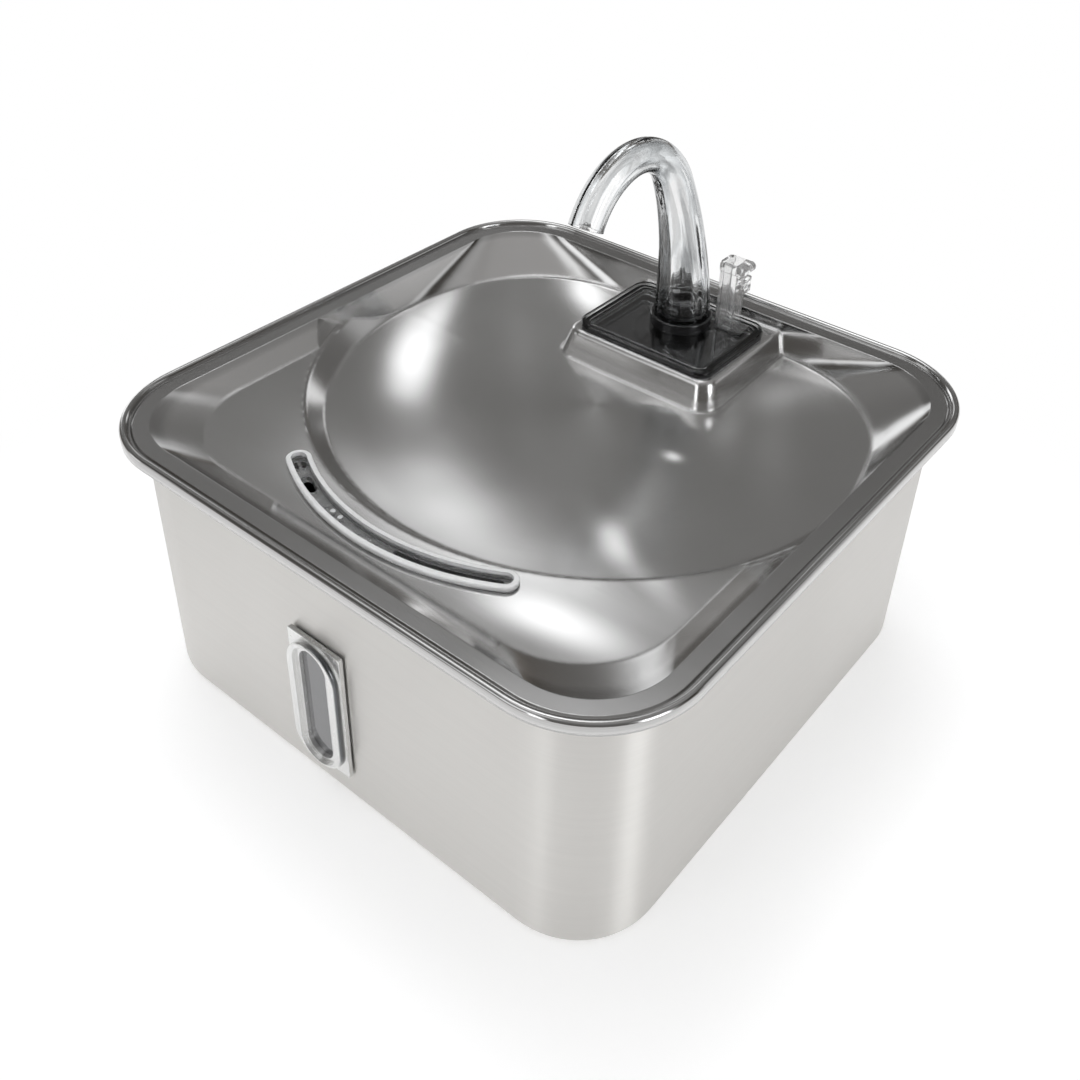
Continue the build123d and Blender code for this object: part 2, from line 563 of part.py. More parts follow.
def make_cartridge_frame():
    pad_x, pad_z = PAD_SIZE
    frame = block(CARTRIDGE_SIZE, (0, CARTRIDGE_Y, DOOR_Z))
    frame -= block((pad_x, 20, pad_z), (0, CARTRIDGE_Y, DOOR_Z))
    rib_y = BOX_FRONT_Y + CARTRIDGE_SIZE[1] - CARTRIDGE_RIB / 2
    for row in (-21, 0, 21):
        frame += block((pad_x, CARTRIDGE_RIB, 2), (0, rib_y, DOOR_Z + row))
    return frame


def make_fibre_pad():
    return block((PAD_SIZE[0], FIBRE_THICK, PAD_SIZE[1]), (0, BOX_FRONT_Y + FIBRE_THICK / 2, DOOR_Z))


def make_carbon_pad():
    thick = CARTRIDGE_SIZE[1] - FIBRE_THICK - CARTRIDGE_RIB
    return block((PAD_SIZE[0], thick, PAD_SIZE[1]), (0, BOX_FRONT_Y + FIBRE_THICK + thick / 2, DOOR_Z))


def make_intake_sponge():
    return block(SPONGE_SIZE, (SPONGE_X, FAUCET_Y - 2.5, PUMP_BASE_Z + SPONGE_SIZE[2] / 2), 2)


def make_suction_cups():
    """Four rubber cups between the tank's floor and the filter box."""
    height = BOX_BASE_Z - SHEET
    with BuildSketch(Plane.XZ) as half:
        with BuildLine():
            Polyline((0, 2.0), (7.5, 0), (8.0, 0), (4.0, 3.4), (3.0, 4.4), (3.0, height), (0, height), (0, 2.0))
        make_face()
    cup = revolve(half.sketch, Axis.Z, 360)
    spread_x, spread_y = CUP_SPREAD
    places = [(x, HATCH_Y + y) for x in (-spread_x, spread_x) for y in (-spread_y, spread_y)]
    return Compound(children=[(Pos(x, y, SHEET) * cup).solid() for x, y in places])


# ---------------------------------------------------------------- pump
def intake_ports(x_start, x_end):
    ports = []
    for i in range(PORT_COUNT):
        turn = 2 * math.pi * i / PORT_COUNT
        y = PUMP_Y + PORT_RING * math.cos(turn)
        z = PUMP_Z + PORT_RING * math.sin(turn)
        ports.append(rod(PORT_RADIUS, (x_start, y, z), (x_end, y, z)))
    return ports


def make_pump_body():
    length = MOTOR_END_X - CHAMBER_HALF
    centre = (CHAMBER_HALF + length / 2, PUMP_Y, PUMP_BASE_Z + PUMP_HEIGHT / 2)
    body = block((length, 2 * PUMP_HALF_Y, PUMP_HEIGHT), centre, 3)
    body -= along_x(MAGNET_RADIUS + MAGNET_GAP, CHAMBER_HALF - 1, MOTOR_END_X - 3)
    return body - upright(GLAND_RADIUS, PUMP_TOP_Z - 5, PUMP_TOP_Z, GLAND_X, GLAND_Y)


def make_chamber_cover():
    """Impeller housing with its intake ports, the outlet stub and the pin that carries the flow dial."""
    cover = block((2 * CHAMBER_HALF, 2 * PUMP_HALF_Y, PUMP_HEIGHT), (0, PUMP_Y, PUMP_BASE_Z + PUMP_HEIGHT / 2), 3)
    cover += upright(OUTLET_RADIUS, PUMP_TOP_Z, OUTLET_TOP_Z)
    cover -= along_x(CHAMBER_RADIUS, CHAMBER_WALL - CHAMBER_HALF, CHAMBER_HALF)
    cover -= upright(OUTLET_BORE, PUMP_Z + 8, OUTLET_TOP_Z + 5)
    for port in intake_ports(-CHAMBER_HALF - 1, -CHAMBER_HALF + 4):
        cover -= port
    cover -= along_x(2.2, -CHAMBER_HALF + 1.0, -CHAMBER_HALF + 4)
    return cover + along_x(DIAL_PIN_RADIUS, -CHAMBER_HALF - 4.2, -CHAMBER_HALF)


def make_flow_dial():
    """Disc with the same ports as the chamber cover: turning it closes them."""
    face_x = -CHAMBER_HALF - DIAL_GAP
    dial = along_x(DIAL_RADIUS, face_x - DIAL_THICK, face_x)
    for port in intake_ports(face_x - 5, face_x + 1):
        dial -= port
    dial -= along_x(DIAL_PIN_RADIUS + RUN_CLEARANCE, face_x - 5, face_x + 1)
    return dial + block((1.6, 3, 5), (face_x - DIAL_THICK / 2, PUMP_Y, PUMP_Z + DIAL_RADIUS + 1.5))


def make_impeller():
    impeller = along_x(IMPELLER_HUB, -3.0, CHAMBER_HALF)
    for i in range(BLADE_COUNT):
        blade = block((8, 1.2, 9), (1.0, 0, 7.5))
        impeller += Pos(0, PUMP_Y, PUMP_Z) * Rot(360 * i / BLADE_COUNT, 0, 0) * blade
    return impeller - along_x(SHAFT_RADIUS + RUN_CLEARANCE, -CHAMBER_HALF, MOTOR_END_X)


def make_rotor_magnet():
    magnet = along_x(MAGNET_RADIUS, CHAMBER_HALF, MOTOR_END_X - 6)
    return magnet - along_x(SHAFT_RADIUS + RUN_CLEARANCE, -CHAMBER_HALF, MOTOR_END_X)


def make_impeller_shaft():
    return along_x(SHAFT_RADIUS, -CHAMBER_HALF + 1.2, MOTOR_END_X - 3.2)


def make_shaft_bushes():
    """The two fixed bushes that hold the ends of the ceramic shaft."""
    shaft = make_impeller_shaft()
    front = along_x(2.2, -CHAMBER_HALF + 1.0, -CHAMBER_HALF + 4.4) - shaft
    back = along_x(3.2, MOTOR_END_X - 5.4, MOTOR_END_X - 3.0) - shaft
    return Compound(children=[front.solid(), back.solid()])


def make_riser_tube():
    tube = upright(OUTLET_RADIUS + RISER_WALL, PUMP_TOP_Z, BOX_TOP_Z)
    return tube - upright(OUTLET_RADIUS, PUMP_TOP_Z - 10, BOX_TOP_Z + 10)


def make_cable_gland():
    gland = upright(GLAND_RADIUS, PUMP_TOP_Z - 5, PUMP_TOP_Z + 9, GLAND_X, GLAND_Y)
    gland += upright(GLAND_RADIUS + 1.2, PUMP_TOP_Z, PUMP_TOP_Z + 2, GLAND_X, GLAND_Y)
    return gland - upright(1.8, PUMP_TOP_Z - 4, PUMP_TOP_Z + 20, GLAND_X, GLAND_Y)


MAKERS = {
    "tank": make_tank,
    "tray": make_tray,
    "drain_insert": make_drain_insert,
    "cover_gasket": make_cover_gasket,
    "outlet_cover": make_outlet_cover,
    "cable_guide": make_cable_guide,
    "faucet_collar": make_faucet_collar,
    "faucet": make_faucet,
    "window_plate": make_window_plate,
    "window_lens": make_window_lens,
    "window_gasket": make_window_gasket,
    "window_frame": make_window_frame,
    "filter_box": make_filter_box,
    "box_lid": make_box_lid,
    "nozzle_ring": make_nozzle_ring,
    "intake_grille": make_intake_grille,
    "cartridge_frame": make_cartridge_frame,
    "fibre_pad": make_fibre_pad,
    "carbon_pad": make_carbon_pad,
    "intake_sponge": make_intake_sponge,
    "suction_cups": make_suction_cups,
    "pump_body": make_pump_body,
    "chamber_cover": make_chamber_cover,
    "flow_dial": make_flow_dial,
    "impeller": make_impeller,
    "rotor_magnet": make_rotor_magnet,
    "impeller_shaft": make_impeller_shaft,
    "shaft_bushes": make_shaft_bushes,
    "riser_tube": make_riser_tube,
    "cable_gland": make_cable_gland,
}

os.makedirs("parts", exist_ok=True)
for name, maker in MAKERS.items():
    shape = maker()
    print(name, len(shape.solids()), round(shape.volume), shape.is_valid)
    export_step(shape, f"parts/{name}.step")
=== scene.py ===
import math

import bmesh
import bpy
from bpy.props import FloatProperty, FloatVectorProperty, IntProperty, PointerProperty
from mathutils import Matrix, Vector, noise


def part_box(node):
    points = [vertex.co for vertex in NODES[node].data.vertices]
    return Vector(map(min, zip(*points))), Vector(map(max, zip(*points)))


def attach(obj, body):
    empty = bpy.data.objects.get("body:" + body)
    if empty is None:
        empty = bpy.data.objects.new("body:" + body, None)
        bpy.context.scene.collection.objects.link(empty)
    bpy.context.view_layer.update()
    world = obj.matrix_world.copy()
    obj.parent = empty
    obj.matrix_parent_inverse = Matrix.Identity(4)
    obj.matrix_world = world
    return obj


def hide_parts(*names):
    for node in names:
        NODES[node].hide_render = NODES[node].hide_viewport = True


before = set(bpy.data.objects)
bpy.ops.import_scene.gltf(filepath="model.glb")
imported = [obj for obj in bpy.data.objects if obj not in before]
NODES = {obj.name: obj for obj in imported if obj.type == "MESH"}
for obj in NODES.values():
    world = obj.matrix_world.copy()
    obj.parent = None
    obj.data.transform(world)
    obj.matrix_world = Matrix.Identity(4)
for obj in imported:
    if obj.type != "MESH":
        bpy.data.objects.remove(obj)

bl_info = {
    "name": "Pet Water Fountain",
    "version": (1, 0, 0),
    "blender": (4, 5, 0),
    "location": "3D View > Sidebar > Fountain",
    "description": "Dresses a square steel pet fountain with its clear faucet, filter and pump",
    "category": "Add Mesh",
}

# Sizes in metres. The pump's axle runs along X at this y and z; its chamber stands out from the motor,
# and the screws stand this far beside, above and below the axle.
PUMP_AXLE_Y = 0.104
PUMP_AXLE_Z = 0.030
CHAMBER_DEPTH = 0.018
SCREW_SIDE = 0.0135
SCREW_RISE = 0.0165
DIAL_RIDGE_RADIUS = 0.00042
MOTOR_RIB_RADIUS = 0.0007
MOTOR_RIB_HEIGHT = 0.030

# Heights between which one surface of the tray or the drain insert turns into the next.
DISH_TO_WALL = (0.1205, 0.1225)
SHELF_TO_SLOPE = (0.1290, 0.1300)
SLOPE_TO_RIM = (0.1325, 0.1345)
TROUGH_TO_LIP = (0.1288, 0.1302)

# The sight window's raised ring: its depth from the plate's front, and where its outer side starts.
RING_DEPTH = (0.0020, 0.0030)
OUTER_SIDE = 0.006

# The faucet's leg and arch bend about a point (y, z) on a radius, and meet at the joint.
FAUCET_LEG = (-0.0762, 0.1349, 0.1802)
FAUCET_ARCH = (0.0533, 0.2000, 0.0353)
FAUCET_JOINT = (0.0848, 0.2159)
FAUCET_DIRECTION = Vector((0, -0.449, 0.893))
STREAKS_PER_METRE = (230.0, 22.0)  # across and along the faucet

# Broad shallow swells left in the dish by the press: place of the middle from the dish's own middle,
# half length and half width in metres, turn in degrees, and how far the metal leans to the front right.
DISH_SWELLS = (
    (-0.098, -0.020, 0.058, 0.021, -54, 0.135),
    (-0.066, 0.079, 0.036, 0.015, -36, 0.140),
    (-0.122, 0.034, 0.034, 0.010, -62, 0.060),
    (-0.046, 0.000, 0.070, 0.010, -47, 0.030),
    (-0.010, 0.012, 0.040, 0.010, -50, 0.045),
    (-0.040, -0.066, 0.060, 0.022, -30, 0.055),
    (0.000, -0.112, 0.100, 0.036, 0, 0.100),
    (0.074, -0.080, 0.036, 0.008, -28, 0.062),
    (0.060, -0.050, 0.048, 0.010, -72, 0.050),
    (0.072, 0.078, 0.050, 0.018, 55, 0.075),
    (0.084, 0.020, 0.046, 0.012, -60, 0.050),
    (0.028, 0.018, 0.011, 0.007, 10, 0.110),
    (0.049, 0.021, 0.008, 0.003, -60, 0.120),
    (0.051, -0.011, 0.007, 0.005, 0, 0.110),
    (0.084, -0.136, 0.030, 0.010, 12, 0.042),
)
SWELL_LEAN = Vector((0.83, -1.03, 0.0))
SWELL_REACH = 1.6  # in half lengths and half widths
TALL = 1e6  # a swell is the same at every height

WHITE = (1.0, 1.0, 1.0)
SCREW_TONES = ((0.50, 0.49, 0.47), (0.62, 0.61, 0.59))
ACRYLIC_IOR = 1.49
SKIN_ROUGHNESS = 0.03
NOISE_MIDDLE = (0.25, 0.75)
NUMBER_SUMS = ("LENGTH", "DISTANCE", "DOT_PRODUCT")

MOULDINGS = (  # material, colour setting, roughness, texture scale, texture depth, coat, nodes
    ("gloss_black_plastic", "black_colour", 0.10, 900.0, 0.00002, 0.6, ("box_lid", "faucet_collar")),
    ("textured_black_plastic", "black_colour", 0.45, 2600.0, 0.00008, 0.0,
     ("filter_box", "intake_grille", "pump_body", "chamber_cover")),
    ("white_moulded_plastic", "white_colour", 0.38, 1500.0, 0.00005, 0.0,
     ("cartridge_frame", "flow_dial", "impeller")),
    ("black_rubber", "rubber_colour", 0.62, 2200.0, 0.00008, 0.0,
     ("cover_gasket", "nozzle_ring", "suction_cups", "shaft_bushes", "cable_gland")),
    ("grey_hose", "hose_colour", 0.35, 700.0, 0.00006, 0.0, ("riser_tube",)),
    ("sintered_magnet", "magnet_colour", 0.5, 3000.0, 0.0001, 0.0, ("rotor_magnet",)),
    ("white_ceramic", "ceramic_colour", 0.18, 1200.0, 0.00002, 0.0, ("impeller_shaft",)),
)

# The camera looks at the rim's middle, a little to its side; the picture's middle lies below the lens axis.
PICTURE_SIDE = 1080
PICTURE_DROP = 140
RIM_MIDDLE = Vector((0, 0, 0.137))
CAMERA_SHIFT = (-0.004256, -0.000151)
CAMERA_CLIP = (0.01, 50)
SENSOR_WIDTH = 36.0
FLOOR_HALF = 6.0
LAMP_PLACE = Vector((-0.2, 0.1, 2.2))
LAMP_SIZE = 2.2

# Soft white cards and windows of the studio: bearing from the back towards the right, height,
# half width, half height and softness of the edge, all in degrees, then brightness. A flag takes light away.
STUDIO_CARDS = (
    ("left window", -135, 66, 52, 5, 16, 0.9),
    ("front left card", -163, 27, 17, 14, 14, 1.2),
    ("front strip", 178, 6, 6, 16, 6, 2.6),
    ("left strip", -72, 9, 9, 14, 8, 1.9),
    ("right strip", 94, 6, 10, 16, 8, 5.0),
    ("right card", 92, 26, 15, 11, 14, 0.8),
    ("back window", -50, 62, 26, 10, 12, 2.0),
    ("low back card", -50, 16, 9, 6, 6, 1.1),
    ("far strip", -12, 12, 5, 9, 6, 1.0),
    ("far card", 22, 34, 9, 8, 8, 0.35),
    ("side card", 46, 52, 12, 8, 10, 0.15),
    ("low side card", 46, 14, 9, 8, 8, 0.7),
    ("top card", -50, 70, 20, 8, 12, 1.2),
    ("low left strip", -126, 4, 8, 12, 8, 1.1),
    ("left flag", -140, 38, 26, 12, 12, -0.12),
    ("right flag", 48, 30, 18, 12, 12, -0.12),
)

# The room behind the cards, from the horizon to overhead: sine of the height, then colour.
ROOM_TONES = (
    (0.0, (0.22, 0.20, 0.18)),
    (0.10, (0.11, 0.10, 0.09)),
    (0.25, (0.15, 0.147, 0.143)),
    (0.55, (0.19, 0.187, 0.183)),
    (0.75, (0.24, 0.237, 0.233)),
    (0.95, (0.42, 0.415, 0.41)),
)


# ---------------------------------------------------------------- settings
def colour_of(name, thing, default):
    return FloatVectorProperty(name=name, description="Colour of the " + thing, subtype="COLOR", size=3,
                               min=0, max=1, default=default)


def factor_of(name, description, default):
    return FloatProperty(name=name, description=description, subtype="FACTOR", min=0, max=1, default=default)


def length_of(name, description, default):
    return FloatProperty(name=name, description=description, subtype="DISTANCE", unit="LENGTH", min=0,
                         precision=5, default=default)


def angle_of(name, description, degrees):
    return FloatProperty(name=name, description=description, subtype="ANGLE", unit="ROTATION",
                         default=math.radians(degrees))


def count_of(name, description, default):
    return IntProperty(name=name, description=description, subtype="UNSIGNED", min=1, default=default)


class FountainSteel(bpy.types.PropertyGroup):
    """Colours and grain of the two steel pressings."""

    tank_colour: colour_of("Tank steel", "brushed tank", (0.72, 0.707, 0.684))
    tank_roughness: factor_of("Tank roughness", "Satin of the brushed walls", 0.36)
    tank_stretch: factor_of("Tank grain stretch", "How far the grain draws lights out upright", 0.9)
    tray_colour: colour_of("Tray steel", "pressed tray", (0.66, 0.655, 0.65))
    tray_roughness: factor_of("Tray roughness", "Polish of the rim and flange", 0.08)
    slope_roughness: factor_of("Slope roughness", "Satin of the slopes inside the rim", 0.14)
    # Painted shade: the rim and flange are coloured darker than the bowl inside them.
    rim_painted_shade: factor_of("Rim tone", "How dark the rim and flange are beside the bowl", 0.78)
    shelf_roughness: factor_of("Shelf roughness", "Satin of the level shelf", 0.20)
    dish_roughness: factor_of("Dish roughness", "Satin of the turned dish", 0.22)
    dish_stretch: factor_of("Dish grain stretch", "How far the turned rings fan lights out", 0.45)
    grain_width: length_of("Grain width", "Width of one brushed line", 0.00035)
    grain_length: length_of("Grain length", "Length of one brushed line", 0.03)
    edge_softness: length_of("Edge softness", "Radius of the bends pressed into the bowl", 0.0024)
    rim_softness: length_of("Rim softness", "Radius of the small bends of the rim", 0.0005)
    dish_centre_y: length_of("Dish centre", "How far the round dish is set back", 0.036)
    dish_radius: length_of("Dish radius", "Radius of the turned dish", 0.126)


class FountainPlastics(bpy.types.PropertyGroup):
    """Colours of the clear, black and white plastics and of the rubber."""

    clear_tint: colour_of("Clear plastic", "clear mouldings", (0.97, 0.985, 0.99))
    # Painted shade: the tint given to clear walls seen edge on.
    clear_edge: colour_of("Clear edge", "clear walls seen edge on", (0.24, 0.255, 0.27))
    frosted_tint: colour_of("Frosted plastic", "drain insert", (0.93, 0.94, 0.95))
    window_tint: colour_of("Window plate", "clear plate on the steel", (0.95, 0.95, 0.94))
    lens_colour: colour_of("Window lens", "smoked lens", (0.155, 0.157, 0.168))
    seal_colour: colour_of("Clear seal", "window's silicone", (0.88, 0.885, 0.88))
    black_colour: colour_of("Black plastic", "lid and pump", (0.012, 0.012, 0.013))
    white_colour: colour_of("White plastic", "cartridge and dial", (0.80, 0.80, 0.78))
    rubber_colour: colour_of("Rubber", "seals and suction cups", (0.018, 0.018, 0.019))
    hose_colour: colour_of("Hose", "riser hose", (0.52, 0.54, 0.55))
    magnet_colour: colour_of("Magnet", "rotor's magnet", (0.045, 0.045, 0.05))
    ceramic_colour: colour_of("Ceramic", "pump's shaft", (0.82, 0.81, 0.78))


class FountainFilter(bpy.types.PropertyGroup):
    """Foam, wool and charcoal of the filter."""

    sponge_colour: colour_of("Sponge", "intake sponge", (0.022, 0.022, 0.025))
    fibre_colour: colour_of("Fibre", "wool pad", (0.82, 0.82, 0.79))
    charcoal_colour: colour_of("Charcoal", "carbon granules", (0.018, 0.018, 0.018))
    pore_size: length_of("Sponge pore", "Distance between the sponge's pores", 0.0021)
    pore_depth: length_of("Pore depth", "How deep a pore sinks", 0.0008)
    fibre_crown: length_of("Fibre crown", "How far the wool pad swells between its edges", 0.0006)
    granule_size: length_of("Granule", "Radius of a carbon granule", 0.0009)
    granule_gap: length_of("Granule gap", "Least distance between two granules", 0.00175)


class FountainFixings(bpy.types.PropertyGroup):
    """Screws, ribs and ridges of the pump."""

    screw_radius: length_of("Screw head", "Radius of a pump screw's head", 0.0021)
    screw_height: length_of("Screw height", "Height of a pump screw's head", 0.0009)
    hose_rib_pitch: length_of("Hose rib pitch", "From one rib of the hose to the next", 0.0032)
    hose_rib_radius: length_of("Hose rib", "Radius of a hose rib's section", 0.0006)
    hose_radius: length_of("Hose radius", "Outer radius of the hose", 0.008)
    dial_ridges: count_of("Dial ridges", "Grip ridges round the flow dial", 40)
    dial_radius: length_of("Dial radius", "Radius of the flow dial", 0.0115)
    motor_ribs: count_of("Motor ribs", "Ribs on each side of the motor", 6)
    motor_rib_pitch: length_of("Motor rib pitch", "From one motor rib to the next", 0.0034)


class FountainStage(bpy.types.PropertyGroup):
    """Camera, floor and lamp."""

    lens: FloatProperty(name="Lens", description="Focal length, millimetres", min=10, max=200, default=40.39)
    azimuth: angle_of("Azimuth", "Turn of the camera about the fountain", 38.674)
    elevation: angle_of("Elevation", "Height of the camera over the horizon", 33.854)
    roll: angle_of("Roll", "Tilt of the camera about its own axis", 1.5)
    distance: length_of("Distance", "From the camera to the middle of the rim", 0.53607)
    floor_colour: colour_of("Floor", "floor", (0.86, 0.86, 0.865))
    floor_glow: factor_of("Floor white", "How far the seen floor is lifted to white", 0.41)
    shadow_reach: length_of("Shadow reach", "Where the floor has turned plain white", 0.36)
    overhead_power: FloatProperty(
        name="Overhead lamp", description="Power of the soft lamp overhead", unit="POWER", min=0, default=19,
    )


# ---------------------------------------------------------------- helpers
def placed(name, data):
    """A new object that shows the data, in the scene."""
    thing = bpy.data.objects.new(name, data)
    bpy.context.scene.collection.objects.link(thing)
    return thing


def fill(tree, node, inputs):
    """Fills a node's inputs with values, links or lists of links."""
    for name, value in inputs.items():
        socket = node.inputs[name]
        links = value if isinstance(value, list) else [value]
        if isinstance(links[0], bpy.types.NodeSocket):
            for link in links:
                tree.links.new(link, socket)
        else:
            socket.default_value = value
    return node


def add(tree, kind, inputs=None, **settings):
    """Adds a node, sets its options, then fills its inputs."""
    node = tree.nodes.new(kind)
    for name, value in settings.items():
        setattr(node, name, value)
    return fill(tree, node, inputs or {})


def shade(tree, kind, inputs=None, **settings):
    return add(tree, "ShaderNode" + kind, inputs, **settings)


def math_node(tree, operation, *values):
    return shade(tree, "Math", dict(enumerate(values)), operation=operation).outputs[0]


def inverse(tree, value):
    return math_node(tree, "SUBTRACT", 1.0, value)


def vector_math(tree, operation, *values, **named):
    """A vector sum; lengths, distances and dot products come back as numbers."""
    node = shade(tree, "VectorMath", {**dict(enumerate(values)), **named}, operation=operation)
    return node.outputs["Value" if operation in NUMBER_SUMS else "Vector"]


def vector_of(tree, **axes):
    return shade(tree, "CombineXYZ", axes).outputs[0]


def axes_of(tree, vector):
    return shade(tree, "SeparateXYZ", {"Vector": vector}).outputs


def texture_place(tree, kind="Object"):
    return shade(tree, "TexCoord").outputs[kind]


def object_place(tree, scale=(1, 1, 1), location=(0, 0, 0)):
    inputs = {"Vector": texture_place(tree), "Scale": scale, "Location": location}
    return shade(tree, "Mapping", inputs).outputs["Vector"]


def rgba(colour, level=1.0):
    return (colour[0] * level, colour[1] * level, colour[2] * level, 1.0)


def mixed(first, second, share):
    """A colour between two others."""
    return tuple((1 - share) * a + share * b for a, b in zip(first, second))


def cleared_tree(owner):
    """The node tree of a material or a world, emptied."""
    owner.use_nodes = True
    owner.node_tree.nodes.clear()
    return owner.node_tree


def new_material(name):
    """A material with one surface shader; returns it with its tree and that shader."""
    material = bpy.data.materials.new(name)
    tree = cleared_tree(material)
    surface = shade(tree, "BsdfPrincipled")
    shade(tree, "OutputMaterial", {"Surface": surface.outputs["BSDF"]})
    return material, tree, surface


def noise_on(tree, vector, scale, detail=3.0, roughness=0.5):
    inputs = {"Vector": vector, "Scale": scale, "Detail": detail, "Roughness": roughness}
    return shade(tree, "TexNoise", inputs).outputs["Fac"]


def map_range(tree, value, low, high, to_low, to_high, **settings):
    inputs = {"Value": value, "From Min": low, "From Max": high, "To Min": to_low, "To Max": to_high}
    return shade(tree, "MapRange", inputs, **settings).outputs["Result"]


def spread(tree, pattern, low=0.0, high=1.0):
    """Maps the middle of a noise to low to high."""
    return map_range(tree, pattern, *NOISE_MIDDLE, low, high)


def vary(tree, pattern, middle, give):
    return spread(tree, pattern, middle - give, middle + give)


def fall(tree, value, inner, outer):
    """1 below inner, 0 above outer, smooth between."""
    return map_range(tree, value, inner, outer, 1.0, 0.0, interpolation_type="SMOOTHSTEP")


def between(tree, factor, first, second):
    """A number between two others."""
    inputs = {"Factor": factor, "A": first, "B": second}
    return shade(tree, "Mix", inputs, data_type="FLOAT").outputs["Result"]


def blend_colours(tree, factor, first, second):
    return shade(tree, "Mix", {0: factor, 6: first, 7: second}, data_type="RGBA").outputs[2]


def two_tone(tree, pattern, colour, low, high):
    """A colour that wanders between two levels of itself."""
    return blend_colours(tree, spread(tree, pattern), rgba(colour, low), rgba(colour, high))


def colour_ramp(tree, value, stops):
    """Runs a value through stops of (place, colour)."""
    ramp = shade(tree, "ValToRGB", {"Fac": value})
    elements = ramp.color_ramp.elements
    for place, colour in stops[1:-1]:
        elements.new(place).color = rgba(colour)
    for element, (place, colour) in ((elements[0], stops[0]), (elements[-1], stops[-1])):
        element.position = place
        element.color = rgba(colour)
    return ramp.outputs["Color"]


def bumps(tree, surface, softness, *layers, lean=None):
    """Softens edges, then lays height patterns of (pattern, strength, depth) over them."""
    normal = shade(tree, "Bevel", {"Radius": softness}, samples=6).outputs["Normal"]
    if lean:
        normal = vector_math(tree, "NORMALIZE", vector_math(tree, "ADD", normal, lean))
    for pattern, strength, depth in layers:
        inputs = {"Strength": strength, "Distance": depth, "Height": pattern, "Normal": normal}
        normal = shade(tree, "Bump", inputs).outputs["Normal"]
    fill(tree, surface, {"Normal": normal})


def dress(material, *nodes):
    """Gives CAD nodes a finish without touching their meshes."""
    for name in nodes:
        for slot in NODES[name].material_slots:
            slot.material = material


# ---------------------------------------------------------------- steel
def brushed_tank_steel(steel):
    """Satin stainless, brushed level round the walls."""
    material, tree, surface = new_material("brushed_tank_steel")
    along, across = 1 / steel.grain_length, 1 / steel.grain_width
    lines = noise_on(tree, object_place(tree, (along, along, across)), 1.0, 4.0, 0.6)
    broad = noise_on(tree, object_place(tree, (along * 0.3, along * 0.3, across * 0.12)), 1.0)
    clouds = noise_on(tree, object_place(tree, (1, 1, 0.35)), 16.0)
    grain = between(tree, 0.45, lines, broad)
    rise = math_node(tree, "ABSOLUTE", axes_of(tree, texture_place(tree, "Normal"))["Z"])
    upright = fall(tree, rise, 0.25, 0.6)
    satin = vary(tree, grain, steel.tank_roughness, 0.03)
    fill(tree, surface, {
        "Metallic": 1.0,
        "Base Color": two_tone(tree, grain, steel.tank_colour, 0.965, 1.03),
        "Roughness": math_node(tree, "ADD", satin, vary(tree, clouds, 0.0, 0.025)),
        "Anisotropic": math_node(tree, "MULTIPLY", upright, steel.tank_stretch),
        "Tangent": vector_of(tree, Z=1.0),
    })
    bumps(tree, surface, 0.0011, (grain, 0.16, 0.0002))
    return material


def dish_axes(tree, steel):
    """Distance from the dish's middle, the direction away from it, and the height."""
    axes = axes_of(tree, object_place(tree, location=(0, -steel.dish_centre_y, 0)))
    flat = vector_of(tree, X=axes["X"], Y=axes["Y"])
    return vector_math(tree, "LENGTH", flat), vector_math(tree, "NORMALIZE", flat), axes["Z"]


def pressed_tray_steel(steel):
    """Polished rim, smooth slopes, a satin shelf, and the dish turned to a satin of fine rings; the rim and
    flange are coloured darker, a painted shade.
    """
    material, tree, surface = new_material("pressed_tray_steel")
    radius, outward, height = dish_axes(tree, steel)
    turn = axes_of(tree, outward)
    rings = noise_on(tree, vector_of(
        tree,
        X=math_node(tree, "MULTIPLY", radius, 1 / steel.grain_width),
        Y=math_node(tree, "MULTIPLY", turn["X"], 2.0),
        Z=math_node(tree, "MULTIPLY", turn["Y"], 2.0),
    ), 1.0)
    rolling = (1 / steel.grain_length, 1 / steel.grain_width, 300)
    rolled = noise_on(tree, object_place(tree, rolling), 1.0)
    clouds = noise_on(tree, object_place(tree), 13.0)
    waves = noise_on(tree, object_place(tree, (1, 1, 0.4)), 17.0, 1.0, 0.3)
    in_dish = fall(tree, radius, steel.dish_radius, steel.dish_radius + 0.002)
    dish = math_node(tree, "MULTIPLY", in_dish, fall(tree, height, *DISH_TO_WALL))
    sloping = fall(tree, axes_of(tree, texture_place(tree, "Normal"))["Z"], 0.90, 0.99)
    well = fall(tree, height, *SLOPE_TO_RIM)
    pattern = between(tree, dish, rolled, rings)
    tint = two_tone(tree, pattern, steel.tray_colour, 0.985, 1.01)
    slopes = between(tree, well, steel.tray_roughness, steel.slope_roughness)
    outside = between(tree, sloping, steel.shelf_roughness, slopes)
    satin = between(tree, dish, outside, steel.dish_roughness)
    detail = math_node(tree, "ADD", vary(tree, pattern, 0.0, 0.012), vary(tree, clouds, 0.0, 0.02))
    fill(tree, surface, {
        "Metallic": 1.0,
        # Painted shade: the base colour is scaled down on the rim and flange, above the slopes.
        "Base Color": vector_math(tree, "SCALE", tint, Scale=between(tree, well, steel.rim_painted_shade, 1.0)),
        "Roughness": math_node(tree, "ADD", satin, detail),
        "Anisotropic": math_node(tree, "MULTIPLY", dish, steel.dish_stretch),
        "Tangent": outward,
    })
    level = math_node(tree, "MULTIPLY", fall(tree, height, *SHELF_TO_SLOPE), inverse(tree, sloping))
    softness = between(tree, well, steel.rim_softness, steel.edge_softness)
    bumps(tree, surface, softness, (waves, 0.5, 0.0012), lean=dish_lean(tree, steel, level))
    return material


